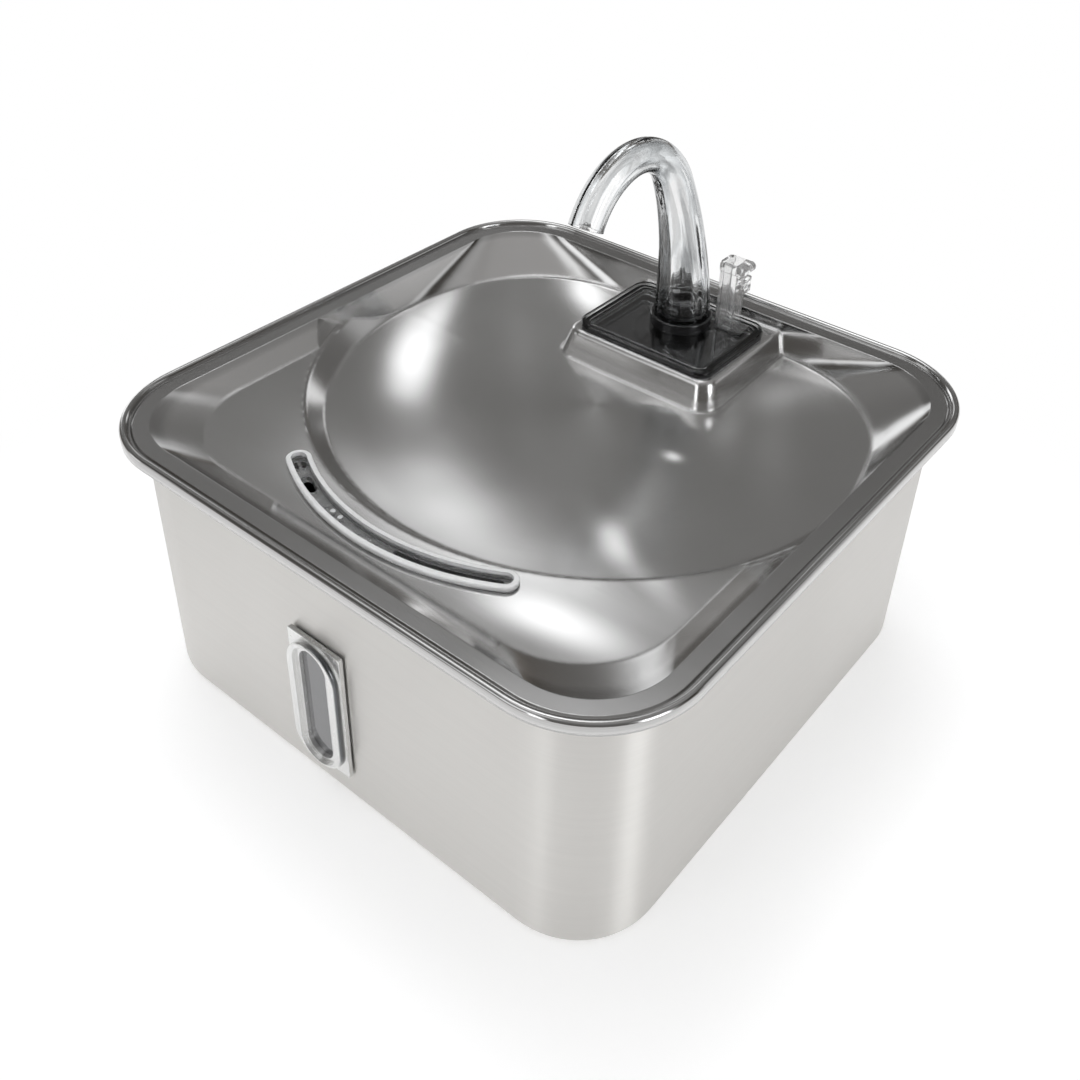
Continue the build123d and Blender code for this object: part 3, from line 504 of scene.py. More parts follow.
def dish_lean(tree, steel, level):
    """How far the press has left the dish's skin leaning, as a small vector to add to its normal."""
    total = 0.0
    for x, y, half_length, half_width, turn, lean in DISH_SWELLS:
        place = shade(tree, "Mapping", {
            "Vector": texture_place(tree), "Location": (x, y + steel.dish_centre_y, 0),
            "Rotation": (0, 0, math.radians(turn)), "Scale": (half_length, half_width, TALL),
        }, vector_type="TEXTURE").outputs["Vector"]
        reach = fall(tree, vector_math(tree, "LENGTH", place), 0.0, SWELL_REACH)
        total = math_node(tree, "ADD", math_node(tree, "MULTIPLY", reach, lean), total)
    return vector_math(tree, "SCALE", SWELL_LEAN, Scale=math_node(tree, "MULTIPLY", total, level))


class FOUNTAIN_OT_steel(bpy.types.Operator):
    """Finish the brushed tank and the pressed tray"""

    bl_idname = "fountain.steel"
    bl_label = "Steel pressings"

    def execute(self, context):
        steel = context.scene.fountain_steel
        dress(brushed_tank_steel(steel), "tank")
        dress(pressed_tray_steel(steel), "tray")
        return {"FINISHED"}


# ---------------------------------------------------------------- plastics
def edge_bands(tree, *bands):
    """A tint in bands of (how edge on, colour): painted shade and highlight, a clear wall tinted darker or
    paler seen edge on, standing in for the room seen through it.
    """
    edge = shade(tree, "LayerWeight", {"Blend": 0.5}).outputs["Facing"]
    return colour_ramp(tree, edge, bands)


def clear_skin(tree, surface, tint, transmission, coat, roughness, ior=ACRYLIC_IOR):
    """What the clear mouldings share: how much they let through, and a glossy skin."""
    fill(tree, surface, {
        "Base Color": tint, "Transmission Weight": transmission, "IOR": ior, "Roughness": roughness,
        "Coat Weight": coat, "Coat Roughness": SKIN_ROUGHNESS,
    })


def clear_plastic(name, transmission, ior, *bands):
    """Clear moulded acrylic with a faint flow in its skin, its tint banded by how edge on it is seen, a
    painted shade.
    """
    material, tree, surface = new_material(name)
    flow = noise_on(tree, object_place(tree), 150.0, 2.0)
    tint = edge_bands(tree, *bands)
    clear_skin(tree, surface, tint, transmission, 1.0 - transmission, spread(tree, flow, 0.01, 0.035), ior)
    bumps(tree, surface, 0.0003, (flow, 0.12, 0.0005))
    return material


def tube_streaks(tree):
    """Noise drawn out along the faucet's leg and arch, each bent about its own centre."""
    axes = axes_of(tree, texture_place(tree))
    place = vector_of(tree, Y=axes["Y"], Z=axes["Z"])
    offsets = [
        math_node(tree, "SUBTRACT", vector_math(tree, "DISTANCE", place, (0, y, z)), bend)
        for y, z, bend in (FAUCET_LEG, FAUCET_ARCH)
    ]
    from_end = vector_math(tree, "SUBTRACT", place, Vector((0, *FAUCET_JOINT)))
    past_end = vector_math(tree, "DOT_PRODUCT", from_end, FAUCET_DIRECTION)
    across = between(tree, math_node(tree, "GREATER_THAN", past_end, 0.0), *offsets)
    fine, long = STREAKS_PER_METRE
    streaks_at = vector_of(
        tree,
        X=math_node(tree, "MULTIPLY", axes["X"], fine),
        Y=math_node(tree, "MULTIPLY", across, fine),
        Z=math_node(tree, "MULTIPLY", axes["Z"], long),
    )
    return noise_on(tree, streaks_at, 1.0, 0.0)


def clear_faucet_plastic(plastics):
    """Thick clear wall, its tint banded edge on and streaked along it, painted shade and highlights standing
    in for the room seen through the tube; the same streaks are the moulding's flow lines in its roughness
    and bumps.
    """
    clear, pale, edge = plastics.clear_tint, plastics.frosted_tint, plastics.clear_edge
    shaded, middle = mixed(clear, edge, 0.2), mixed(clear, edge, 0.5)
    material, tree, surface = new_material("clear_faucet_plastic")
    bands = edge_bands(
        tree, (0.0, clear), (0.10, pale), (0.20, shaded), (0.28, clear), (0.42, shaded), (0.60, middle),
        (0.8, edge),
    )
    streaks = tube_streaks(tree)
    # Painted shade and highlights: the streaks make the tint darker or paler along the tube.
    tint = vector_math(tree, "MULTIPLY", bands, map_range(tree, streaks, 0.36, 0.46, 0.58, 1.12))
    clear_skin(tree, surface, tint, 1.0, 0.0, spread(tree, streaks, 0.01, 0.03))
    bumps(tree, surface, 0.0003, (streaks, 0.8, 0.0016))
    return material


def clear_drain_plastic(plastics):
    """Clear insert: its lip is nearly opaque and pale, a painted highlight, its tint paler face on than edge
    on, and its trough shows the dark below.
    """
    material, tree, surface = new_material("clear_drain_plastic")
    flow = noise_on(tree, object_place(tree), 190.0, 2.0)
    # Painted highlight: the lip above the trough lets little light through, so it shows pale.
    trough = fall(tree, axes_of(tree, object_place(tree))["Z"], *TROUGH_TO_LIP)
    bands = edge_bands(tree, (0.0, WHITE), (0.8, plastics.frosted_tint))
    clear_skin(tree, surface, bands, between(tree, trough, 0.12, 0.86), 1.0, spread(tree, flow, 0.03, 0.08))
    bumps(tree, surface, 0.0003, (flow, 0.8, 0.0016))
    return material


def clear_window_plastic(plastics):
    """Clear plate that carries the shine of the steel behind it, the outer right and upper sides of its
    raised ring tinted dark, a painted shade.
    """
    material, tree, surface = new_material("clear_window_plastic")
    low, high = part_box("window_plate")
    middle = (Vector(low) + Vector(high)) / 2
    flow = noise_on(tree, object_place(tree), 220.0, 2.0)
    place, normal = texture_place(tree), texture_place(tree, "Normal")
    facing = axes_of(tree, normal)
    # Painted shade: the sides of the ring that face right or up are tinted dark.
    away = math_node(tree, "MULTIPLY_ADD", facing["Z"], 0.6, facing["X"])
    side = inverse(tree, fall(tree, away, 0.15, 0.8))
    raised = fall(tree, axes_of(tree, place)["Y"], *(low[1] + depth for depth in RING_DEPTH))
    outward = vector_math(tree, "DOT_PRODUCT", vector_math(tree, "SUBTRACT", place, middle), normal)
    outer = math_node(tree, "MULTIPLY", raised, math_node(tree, "GREATER_THAN", outward, OUTER_SIDE))
    painted_ring_shade = math_node(tree, "MULTIPLY", side, outer)
    face = two_tone(tree, flow, plastics.window_tint, 0.93, 1.0)
    tint = blend_colours(tree, painted_ring_shade, face, rgba(plastics.clear_edge, 0.4))
    clear_skin(tree, surface, tint, 0.3, 1.0, spread(tree, flow, 0.16, 0.28))
    fill(tree, surface, {"Metallic": 0.6})
    bumps(tree, surface, 0.0004, (flow, 0.3, 0.0005))
    return material


def frosted_plastic(name, colour, transmission, roughness):
    """Pale translucent moulding with a glossy skin."""
    material, tree, surface = new_material(name)
    flow = noise_on(tree, object_place(tree), 220.0, 2.0)
    clouds = noise_on(tree, object_place(tree), 60.0, 2.0)
    tint = two_tone(tree, clouds, colour, 0.94, 1.03)
    satin = spread(tree, flow, roughness * 0.7, roughness * 1.3)
    clear_skin(tree, surface, tint, transmission, 1.0, satin)
    bumps(tree, surface, 0.0004, (flow, 0.15, 0.0004))
    return material


def moulded_plastic(name, colour, roughness, texture_scale, depth, coat):
    """Opaque moulded plastic with a fine skin texture and faint wear."""
    material, tree, surface = new_material(name)
    skin = noise_on(tree, object_place(tree), texture_scale, 3.0, 0.55)
    wear = noise_on(tree, object_place(tree), 35.0)
    lifted = tuple(min(1, channel * 1.25 + 0.004) for channel in colour)
    satin = spread(tree, skin, roughness - 0.04, roughness + 0.05)
    fill(tree, surface, {
        "Base Color": blend_colours(tree, spread(tree, wear), rgba(colour), rgba(lifted)),
        "Roughness": math_node(tree, "ADD", satin, spread(tree, wear, -0.02, 0.03)),
        "Coat Weight": coat, "Coat Roughness": 0.04,
    })
    bumps(tree, surface, 0.0004, (skin, 0.25, depth))
    return material


class FOUNTAIN_OT_clear_parts(bpy.types.Operator):
    """Finish the faucet, hatch cover, cable guide, drain insert and sight window"""

    bl_idname = "fountain.clear_parts"
    bl_label = "Clear parts"

    def execute(self, context):
        plastics = context.scene.fountain_plastics
        clear, pale = plastics.clear_tint, plastics.frosted_tint
        middle = mixed(clear, plastics.clear_edge, 0.5)
        # Painted shade: the cover's tint turns paler, then greyer, edge on; the guide's bands are plain
        # white.
        cover_bands = ((0.0, clear), (0.5, pale), (1.0, middle))
        guide_bands = ((0.0, WHITE), (1.0, WHITE))
        dress(clear_faucet_plastic(plastics), "faucet")
        dress(clear_plastic("clear_cover_plastic", 1.0, ACRYLIC_IOR, *cover_bands), "outlet_cover")
        dress(clear_plastic("clear_guide_plastic", 0.88, 1.3, *guide_bands), "cable_guide")
        dress(clear_drain_plastic(plastics), "drain_insert")
        dress(clear_window_plastic(plastics), "window_plate", "window_frame")
        dress(frosted_plastic("clear_silicone", plastics.seal_colour, 0.85, 0.20), "window_gasket")
        dress(frosted_plastic("smoked_lens", plastics.lens_colour, 0.25, 0.10), "window_lens")
        return {"FINISHED"}


class FOUNTAIN_OT_moulded_parts(bpy.types.Operator):
    """Finish the black, white and rubber mouldings"""

    bl_idname = "fountain.moulded_parts"
    bl_label = "Moulded parts"

    def execute(self, context):
        plastics = context.scene.fountain_plastics
        for name, colour, roughness, texture_scale, depth, coat, nodes in MOULDINGS:
            colour = getattr(plastics, colour)
            dress(moulded_plastic(name, colour, roughness, texture_scale, depth, coat), *nodes)
        return {"FINISHED"}


# ---------------------------------------------------------------- filter pads
def soft_block(low, high, step, corner):
    """Finely divided block between two corners, its edges rounded, as a bmesh."""
    low, high = Vector(low), Vector(high)
    size = high - low
    mesh = bmesh.new()
    for axis in range(3):
        first, second = (axis + 1) % 3, (axis + 2) % 3
        counts = [max(2, round(size[side] / step)) for side in (first, second)]
        for end in (0, 1):
            rows = []
            for i in range(counts[0] + 1):
                row = []
                for j in range(counts[1] + 1):
                    place = Vector((0, 0, 0))
                    place[axis] = end * size[axis]
                    place[first] = size[first] * i / counts[0]
                    place[second] = size[second] * j / counts[1]
                    row.append(mesh.verts.new(low + place))
                rows.append(row)
            for i in range(counts[0]):
                for j in range(counts[1]):
                    corners = [rows[i][j], rows[i + 1][j], rows[i + 1][j + 1], rows[i][j + 1]]
                    mesh.faces.new(corners if end else corners[::-1])
    bmesh.ops.remove_doubles(mesh, verts=mesh.verts, dist=step * 0.01)
    inset = Vector((corner, corner, corner))
    inner_low, inner_high = low + inset, high - inset
    for vertex in mesh.verts:
        held = Vector(min(max(vertex.co[i], inner_low[i]), inner_high[i]) for i in range(3))
        away = vertex.co - held
        if away.length > 1e-9:
            vertex.co = held + away.normalized() * corner
    mesh.normal_update()
    return mesh


def mesh_object(name, mesh, material):
    data = bpy.data.meshes.new(name)
    mesh.to_mesh(data)
    mesh.free()
    data.materials.append(material)
    data.shade_smooth()
    return placed(name, data)


def soft_material(name, colour, roughness, scale, depth, sheen=0.0):
    """Matt fibrous or porous finish."""
    material, tree, surface = new_material(name)
    fine = noise_on(tree, object_place(tree), scale, 4.0, 0.65)
    broad = noise_on(tree, object_place(tree), scale * 0.08)
    bump = shade(tree, "Bump", {"Strength": 0.5, "Distance": depth, "Height": fine})
    fill(tree, surface, {
        "Base Color": two_tone(tree, between(tree, 0.4, fine, broad), colour, 0.72, 1.15),
        "Roughness": vary(tree, fine, roughness, 0.06),
        "Sheen Weight": sheen, "Sheen Roughness": 0.5, "Normal": bump.outputs["Normal"],
    })
    return material


class FOUNTAIN_OT_intake_sponge(bpy.types.Operator):
    """Make the open foam block beside the pump's intake"""

    bl_idname = "fountain.intake_sponge"
    bl_label = "Intake sponge"

    def execute(self, context):
        facts = context.scene.fountain_filter
        low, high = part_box("intake_sponge")
        mesh = soft_block(low, high, facts.pore_size / 3, 0.0024)
        for vertex in mesh.verts:
            cells = noise.voronoi(vertex.co / facts.pore_size)[0]
            wall = min(1.0, (cells[1] - cells[0]) * 2.2)
            vertex.co -= vertex.normal * facts.pore_depth * wall
        foam = soft_material("sponge_foam", facts.sponge_colour, 0.85, 1900.0, 0.0003, 0.2)
        piece = mesh_object("sponge_block", mesh, foam)
        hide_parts("intake_sponge")
        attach(piece, "tank")
        return {"FINISHED"}


class FOUNTAIN_OT_fibre_pad(bpy.types.Operator):
    """Make the white wool pad in the front of the filter drawer"""

    bl_idname = "fountain.fibre_pad"
    bl_label = "Fibre pad"

    def execute(self, context):
        facts = context.scene.fountain_filter
        low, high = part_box("fibre_pad")
        mesh = soft_block(low, high, 0.0008, 0.0009)
        middle = (Vector(low) + Vector(high)) / 2
        half = (Vector(high) - Vector(low)) / 2
        for vertex in mesh.verts:
            across = vertex.co - middle
            hold = max(abs(across.x) / half.x, abs(across.z) / half.z)
            sink = facts.fibre_crown * min(1.0, hold ** 6 + 0.25)
            tufts = noise.fractal(vertex.co * 900, 0.9, 2.1, 4) * 0.00022
            vertex.co -= vertex.normal * (sink * 0.7 + abs(tufts))
        wool = soft_material("felted_wool", facts.fibre_colour, 0.9, 1500.0, 0.0003, 0.4)
        piece = mesh_object("fibre_wool", mesh, wool)
        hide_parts("fibre_pad")
        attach(piece, "filter_drawer")
        return {"FINISHED"}


# ---------------------------------------------------------------- what repeats
def build(tree, kind, inputs=None, **settings):
    """Adds a geometry node and returns its first output."""
    return add(tree, "GeometryNode" + kind, inputs, **settings).outputs[0]


def growth_tree(name, inputs):
    """A Geometry Nodes tree with named number inputs; returns it, its inputs' sockets and its end."""
    tree = bpy.data.node_groups.new(name, "GeometryNodeTree")
    tree.interface.new_socket("Geometry", in_out="INPUT", socket_type="NodeSocketGeometry")
    for label, value in inputs.items():
        kind = "NodeSocketInt" if isinstance(value, int) else "NodeSocketFloat"
        tree.interface.new_socket(label, in_out="INPUT", socket_type=kind)
    tree.interface.new_socket("Geometry", in_out="OUTPUT", socket_type="NodeSocketGeometry")
    return tree, add(tree, "NodeGroupInput").outputs, add(tree, "NodeGroupOutput")


def finish_tree(tree, end, geometry, material, smooth=True):
    """Realize Instances, shading and Set Material at the end of a tree."""
    solid = build(tree, "RealizeInstances", {"Geometry": geometry})
    shaded = build(tree, "SetShadeSmooth", {"Geometry": solid, "Shade Smooth": smooth})
    fill(tree, end, {"Geometry": build(tree, "SetMaterial", {"Geometry": shaded, "Material": material})})


def grow(name, tree, inputs, carrier, body):
    """Runs a tree on a carrier mesh and keeps the result as a plain mesh that rides on a body."""
    seed = placed(name + "_seed", carrier)
    modifier = seed.modifiers.new("growth", "NODES")
    modifier.node_group = tree
    for item in tree.interface.items_tree:
        if item.in_out == "INPUT" and item.name in inputs:
            modifier[item.identifier] = inputs[item.name]
    graph = bpy.context.evaluated_depsgraph_get()
    grown = seed.evaluated_get(graph)
    data = bpy.data.meshes.new_from_object(grown, preserve_all_data_layers=True, depsgraph=graph)
    seed.modifiers.remove(modifier)
    bpy.data.objects.remove(seed)
    data.name = name
    if not data.polygons:
        raise RuntimeError(name + " came out empty")
    piece = placed(name, data)
    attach(piece, body)
    return piece


def points_mesh(name, points):
    data = bpy.data.meshes.new(name)
    data.from_pydata([tuple(point) for point in points], [], [])
    return data


def place_copies(tree, points, instance, **more):
    return build(tree, "InstanceOnPoints", {"Points": points, "Instance": instance, **more})


def moved(tree, geometry, place, **more):
    return build(tree, "Transform", {"Geometry": geometry, "Translation": place, **more})


class FOUNTAIN_OT_carbon_pad(bpy.types.Operator):
    """Make the charcoal pad: loose granules bonded to a thin core"""

    bl_idname = "fountain.carbon_pad"
    bl_label = "Carbon pad"

    def execute(self, context):
        facts = context.scene.fountain_filter
        low, high = (Vector(corner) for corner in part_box("carbon_pad"))
        inset = Vector((1, 1, 1)) * facts.granule_size
        core = soft_block(low + inset, high - inset, 0.004, 0.0008)
        charcoal = soft_material("bonded_charcoal", facts.charcoal_colour, 0.7, 2600.0, 0.0002)
        carrier = bpy.data.meshes.new("carbon_core")
        core.to_mesh(carrier)
        core.free()
        inputs = {"Granule": facts.granule_size, "Gap": facts.granule_gap}
        tree, given, end = growth_tree("carbon_granules", inputs)
        spots = build(tree, "DistributePointsOnFaces", {
            "Mesh": given["Geometry"], "Distance Min": given["Gap"], "Density Max": 900000.0, "Seed": 4,
        }, distribute_method="POISSON")
        size = add(tree, "FunctionNodeRandomValue", {2: 0.62, 3: 0.98, "Seed": 7}, data_type="FLOAT")
        tilt = add(tree, "FunctionNodeRandomValue", {0: (0, 0, 0), 1: (6.2, 6.2, 6.2), "Seed": 9},
                   data_type="FLOAT_VECTOR")
        ball = build(tree, "MeshIcoSphere", {"Radius": given["Granule"], "Subdivisions": 1})
        grains = place_copies(tree, spots, ball, Scale=size.outputs[1], Rotation=tilt.outputs[0])
        joined = build(tree, "JoinGeometry", {0: [given["Geometry"], grains]})
        finish_tree(tree, end, joined, charcoal, smooth=False)
        piece = grow("carbon_granules", tree, inputs, carrier, "filter_drawer")
        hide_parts("carbon_pad")
        return {"FINISHED"}


class FOUNTAIN_OT_pump_screws(bpy.types.Operator):
    """Set four cross-headed screws in the pump's chamber cover"""

    bl_idname = "fountain.pump_screws"
    bl_label = "Pump screws"

    def execute(self, context):
        facts = context.scene.fountain_fixings
        face_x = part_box("pump_body")[0][0] - CHAMBER_DEPTH
        places = [
            (face_x, PUMP_AXLE_Y + side * SCREW_SIDE, PUMP_AXLE_Z + rise * SCREW_RISE)
            for side in (-1, 1) for rise in (-1, 1)
        ]
        inputs = {"Head radius": facts.screw_radius, "Head height": facts.screw_height}
        tree, given, end = growth_tree("cross_head_screws", inputs)
        radius, height = given["Head radius"], given["Head height"]
        head = build(tree, "MeshCylinder", {"Vertices": 28, "Radius": radius, "Depth": height})
        width = math_node(tree, "MULTIPLY", radius, 0.32)
        length = math_node(tree, "MULTIPLY", radius, 1.25)
        slots = [
            build(tree, "MeshCube", {"Size": vector_of(tree, X=x, Y=y, Z=height)})
            for x, y in ((length, width), (width, length))
        ]
        cross = build(tree, "MeshBoolean", {"Mesh 2": slots}, operation="UNION")
        lift = vector_of(tree, Z=math_node(tree, "MULTIPLY", height, 0.55))
        sides = {"Mesh 1": head, "Mesh 2": moved(tree, cross, lift)}
        cut = build(tree, "MeshBoolean", sides, operation="DIFFERENCE")
        turned = (0, -math.pi / 2, math.radians(20))
        screws = place_copies(tree, given["Geometry"], cut, Rotation=turned)
        finish_tree(tree, end, screws, stainless_screw(), smooth=False)
        grow("pump_screws", tree, inputs, points_mesh("screw_places", places), "tank")
        return {"FINISHED"}


def stainless_screw():
    material, tree, surface = new_material("screw_steel")
    scuffs = noise_on(tree, object_place(tree), 2400.0, 3.0, 0.6)
    tint = blend_colours(tree, spread(tree, scuffs), *(rgba(tone) for tone in SCREW_TONES))
    roughness = spread(tree, scuffs, 0.22, 0.36)
    fill(tree, surface, {"Metallic": 1.0, "Base Color": tint, "Roughness": roughness})
    bumps(tree, surface, 0.0002, (scuffs, 0.2, 0.00005))
    return material


class FOUNTAIN_OT_hose_ribs(bpy.types.Operator):
    """Ring the riser hose with moulded ribs"""

    bl_idname = "fountain.hose_ribs"
    bl_label = "Hose ribs"

    def execute(self, context):
        facts = context.scene.fountain_fixings
        low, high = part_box("riser_tube")
        inputs = {
            "Count": int((high[2] - low[2]) / facts.hose_rib_pitch) - 1, "Pitch": facts.hose_rib_pitch,
            "Hose radius": facts.hose_radius, "Rib radius": facts.hose_rib_radius,
        }
        tree, given, end = growth_tree("hose_ribs", inputs)
        step = vector_of(tree, Z=given["Pitch"])
        line = build(tree, "MeshLine", {"Count": given["Count"], "Offset": step})
        ring, section = (
            build(tree, "CurvePrimitiveCircle", {"Radius": given[radius], "Resolution": sides})
            for radius, sides in (("Hose radius", 40), ("Rib radius", 8))
        )
        rib = build(tree, "CurveToMesh", {"Curve": ring, "Profile Curve": section})
        first = (0, PUMP_AXLE_Y, low[2] + facts.hose_rib_pitch)
        ribs = moved(tree, place_copies(tree, line, rib), first)
        finish_tree(tree, end, ribs, NODES["riser_tube"].material_slots[0].material)
        grow("hose_ribs", tree, inputs, points_mesh("hose_foot", [first]), "tank")
        return {"FINISHED"}


class FOUNTAIN_OT_dial_ridges(bpy.types.Operator):
    """Cut the flow dial's edge to a grip of small ridges"""

    bl_idname = "fountain.dial_ridges"
    bl_label = "Dial ridges"

    def execute(self, context):
        facts = context.scene.fountain_fixings
        low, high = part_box("flow_dial")
        inputs = {
            "Ridges": facts.dial_ridges, "Dial radius": facts.dial_radius,
            "Length": high[0] - low[0] - 0.0004,
        }
        tree, given, end = growth_tree("dial_ridges", inputs)
        circle = {"Radius": given["Dial radius"], "Resolution": given["Ridges"]}
        ring = build(tree, "CurvePrimitiveCircle", circle)
        rod = {"Vertices": 8, "Radius": DIAL_RIDGE_RADIUS, "Depth": given["Length"]}
        ridge = build(tree, "MeshCylinder", rod)
        middle = ((low[0] + high[0]) / 2, PUMP_AXLE_Y, PUMP_AXLE_Z)
        ridges = moved(tree, place_copies(tree, ring, ridge), middle, Rotation=(0, math.pi / 2, 0))
        finish_tree(tree, end, ridges, NODES["flow_dial"].material_slots[0].material)
        carrier = points_mesh("dial_middle", [middle])
        grow("dial_ridges", tree, inputs, carrier, "flow_dial")
        return {"FINISHED"}


class FOUNTAIN_OT_motor_ribs(bpy.types.Operator):
    """Stand ribs on both sides of the pump's motor"""

    bl_idname = "fountain.motor_ribs"
    bl_label = "Motor ribs"

    def execute(self, context):
        facts = context.scene.fountain_fixings
        low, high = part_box("pump_body")
        middle_x = (low[0] + high[0]) / 2
        inputs = {"Ribs": facts.motor_ribs, "Pitch": facts.motor_rib_pitch, "Height": MOTOR_RIB_HEIGHT}
        tree, given, end = growth_tree("motor_ribs", inputs)
        step = vector_of(tree, X=given["Pitch"])
        line = build(tree, "MeshLine", {"Count": given["Ribs"], "Offset": step})
        rod = {"Vertices": 12, "Radius": MOTOR_RIB_RADIUS, "Depth": given["Height"]}
        row = place_copies(tree, line, build(tree, "MeshCylinder", rod))
        first_x = middle_x - facts.motor_rib_pitch * (facts.motor_ribs - 1) / 2
        rows = [moved(tree, row, (first_x, side_y, PUMP_AXLE_Z)) for side_y in (low[1], high[1])]
        both = build(tree, "JoinGeometry", {0: rows})
        finish_tree(tree, end, both, NODES["pump_body"].material_slots[0].material)
        carrier = points_mesh("motor_middle", [(middle_x, 0, 0)])
        grow("motor_ribs", tree, inputs, carrier, "tank")
        return {"FINISHED"}


# ---------------------------------------------------------------- stage
def camera_axes(stage):
    """Right, up and back of the camera as columns."""
    turn = Matrix.Rotation(stage.azimuth, 3, "Z")
    tip = Matrix.Rotation(math.pi / 2 - stage.elevation, 3, "X")
    return turn @ tip @ Matrix.Rotation(stage.roll, 3, "Z")


def studio_camera(stage):
    data = bpy.data.cameras.new("camera")
    data.sensor_width = SENSOR_WIDTH
    data.lens = stage.lens
    data.shift_y = -PICTURE_DROP / PICTURE_SIDE
    data.clip_start, data.clip_end = CAMERA_CLIP
    camera = placed("camera", data)
    axes = camera_axes(stage)
    place = RIM_MIDDLE + axes @ Vector((*CAMERA_SHIFT, stage.distance))
    camera.matrix_world = Matrix.Translation(place) @ axes.to_4x4()
    bpy.context.scene.camera = camera


def overhead_lamp(power):
    """A wide soft lamp over the fountain; polished metal doesn't mirror it."""
    light = bpy.data.lights.new("overhead", "AREA")
    light.shape = "SQUARE"
    light.size = LAMP_SIZE
    light.energy = power
    lamp = placed("overhead", light)
    turn = LAMP_PLACE.to_track_quat("Z", "Y").to_matrix().to_4x4()
    lamp.matrix_world = Matrix.Translation(LAMP_PLACE) @ turn
    lamp.visible_glossy = False


def studio_world():
    """A dim room with soft white cards round it; the camera sees plain white behind the floor."""
    world = bpy.data.worlds.new("studio")
    tree = cleared_tree(world)
    direction = axes_of(tree, texture_place(tree, "Generated"))
    bearing = math_node(tree, "ARCTAN2", direction["X"], direction["Y"])
    height = math_node(tree, "ARCSINE", direction["Z"])
    light = colour_ramp(tree, direction["Z"], ROOM_TONES)
    for _, side, up, half_width, half_height, edge, level in STUDIO_CARDS:
        turn = math_node(tree, "SUBTRACT", bearing, math.radians(side))
        turn = math_node(tree, "ABSOLUTE", math_node(tree, "WRAP", turn, math.pi, -math.pi))
        rise = math_node(tree, "ABSOLUTE", math_node(tree, "SUBTRACT", height, math.radians(up)))
        card = math_node(tree, "MULTIPLY", *(
            fall(tree, angle, math.radians(half - edge / 2), math.radians(half + edge / 2))
            for angle, half in ((turn, half_width), (rise, half_height))
        ))
        tint = (level * 0.985, level, level * 1.015)
        light = vector_math(tree, "MULTIPLY_ADD", card, tint, light)
    seen = shade(tree, "LightPath").outputs["Is Camera Ray"]
    back = shade(tree, "Background", {"Color": blend_colours(tree, seen, light, rgba(WHITE))})
    shade(tree, "OutputWorld", {"Surface": back.outputs[0]})
    world.cycles.sampling_method = "NONE"
    bpy.context.scene.world = world


def studio_floor(stage):
    """Pale floor that keeps the shadow near the fountain and turns plain white away from it."""
    material = bpy.data.materials.new("studio_floor")
    tree = cleared_tree(material)
    paper = noise_on(tree, object_place(tree), 400.0, 2.0)
    matte = shade(tree, "BsdfDiffuse", {"Color": two_tone(tree, paper, stage.floor_colour, 0.99, 1.01)})
    path = shade(tree, "LightPath").outputs
    seen = math_node(tree, "MAXIMUM", path["Is Camera Ray"], path["Is Glossy Ray"])
    seen = math_node(tree, "MAXIMUM", seen, path["Is Transmission Ray"])
    lift = math_node(tree, "MULTIPLY", seen, stage.floor_glow)
    glow, white = (
        shade(tree, "Emission", {"Color": rgba(WHITE), "Strength": strength}) for strength in (lift, 1.0)
    )
    near = shade(tree, "AddShader", {0: matte.outputs[0], 1: glow.outputs[0]})
    distance = vector_math(tree, "LENGTH", object_place(tree))
    close = fall(tree, distance, stage.shadow_reach * 0.55, stage.shadow_reach)
    far = math_node(tree, "MULTIPLY", seen, inverse(tree, close))
    both = shade(tree, "MixShader", {0: far, 1: near.outputs[0], 2: white.outputs[0]})
    shade(tree, "OutputMaterial", {"Surface": both.outputs[0]})
    mesh = bpy.data.meshes.new("studio_floor")
    corners = [(x * FLOOR_HALF, y * FLOOR_HALF, 0) for x, y in ((-1, -1), (1, -1), (1, 1), (-1, 1))]
    mesh.from_pydata(corners, [], [(0, 1, 2, 3)])
    mesh.materials.append(material)
    placed("studio_floor", mesh)


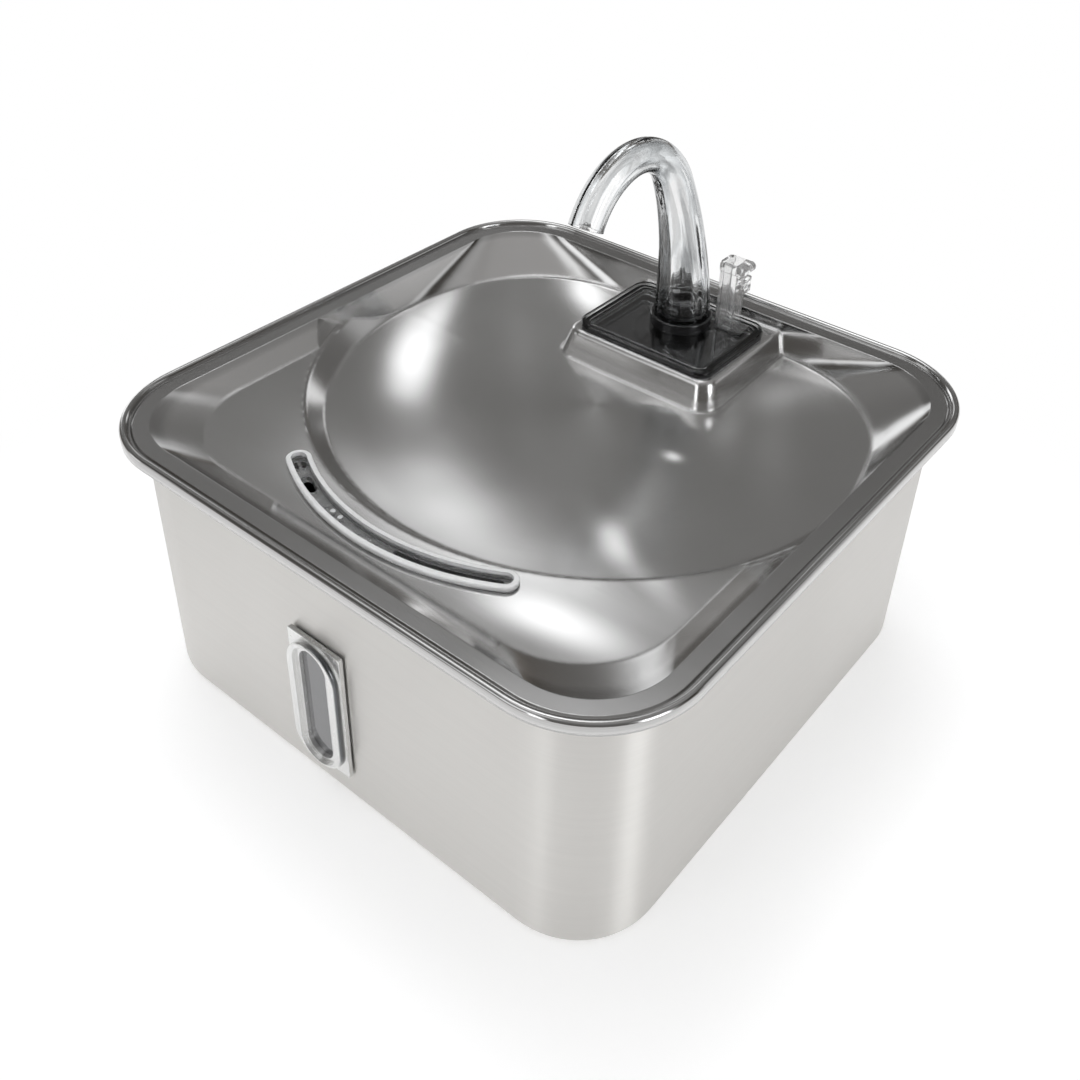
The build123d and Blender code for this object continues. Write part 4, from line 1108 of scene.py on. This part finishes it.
class FOUNTAIN_OT_stage(bpy.types.Operator):
    """Set the camera, the pale floor and the soft light"""

    bl_idname = "fountain.stage"
    bl_label = "Stage"

    def execute(self, context):
        stage = context.scene.fountain_stage
        context.scene.view_settings.view_transform = "Standard"
        studio_camera(stage)
        studio_world()
        studio_floor(stage)
        overhead_lamp(stage.overhead_power)
        return {"FINISHED"}


# ---------------------------------------------------------------- panel and running
class FOUNTAIN_PT_maker(bpy.types.Panel):
    """Sizes, colours and steps of the fountain"""

    bl_label = "Pet Water Fountain"
    bl_idname = "FOUNTAIN_PT_maker"
    bl_space_type = "VIEW_3D"
    bl_region_type = "UI"
    bl_category = "Fountain"

    def draw(self, context):
        for group_name, group in GROUPS.items():
            box = self.layout.box()
            for name in group.__annotations__:
                box.prop(getattr(context.scene, group_name), name)
        for step in STEPS:
            self.layout.operator(step.bl_idname)


GROUPS = {
    "fountain_steel": FountainSteel,
    "fountain_plastics": FountainPlastics,
    "fountain_filter": FountainFilter,
    "fountain_fixings": FountainFixings,
    "fountain_stage": FountainStage,
}
STEPS = (
    FOUNTAIN_OT_stage,
    FOUNTAIN_OT_steel,
    FOUNTAIN_OT_clear_parts,
    FOUNTAIN_OT_moulded_parts,
    FOUNTAIN_OT_intake_sponge,
    FOUNTAIN_OT_fibre_pad,
    FOUNTAIN_OT_carbon_pad,
    FOUNTAIN_OT_pump_screws,
    FOUNTAIN_OT_hose_ribs,
    FOUNTAIN_OT_dial_ridges,
    FOUNTAIN_OT_motor_ribs,
)


def register():
    for cls in (*GROUPS.values(), *STEPS, FOUNTAIN_PT_maker):
        bpy.utils.register_class(cls)
    for name, group in GROUPS.items():
        setattr(bpy.types.Scene, name, PointerProperty(type=group))


def unregister():
    for name in GROUPS:
        delattr(bpy.types.Scene, name)
    for cls in (FOUNTAIN_PT_maker, *reversed(STEPS), *reversed(tuple(GROUPS.values()))):
        bpy.utils.unregister_class(cls)


def main():
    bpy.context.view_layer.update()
    register()
    for step in STEPS:
        group, operator = step.bl_idname.split(".")
        getattr(getattr(bpy.ops, group), operator)()


if __name__ == "__main__":
    main()
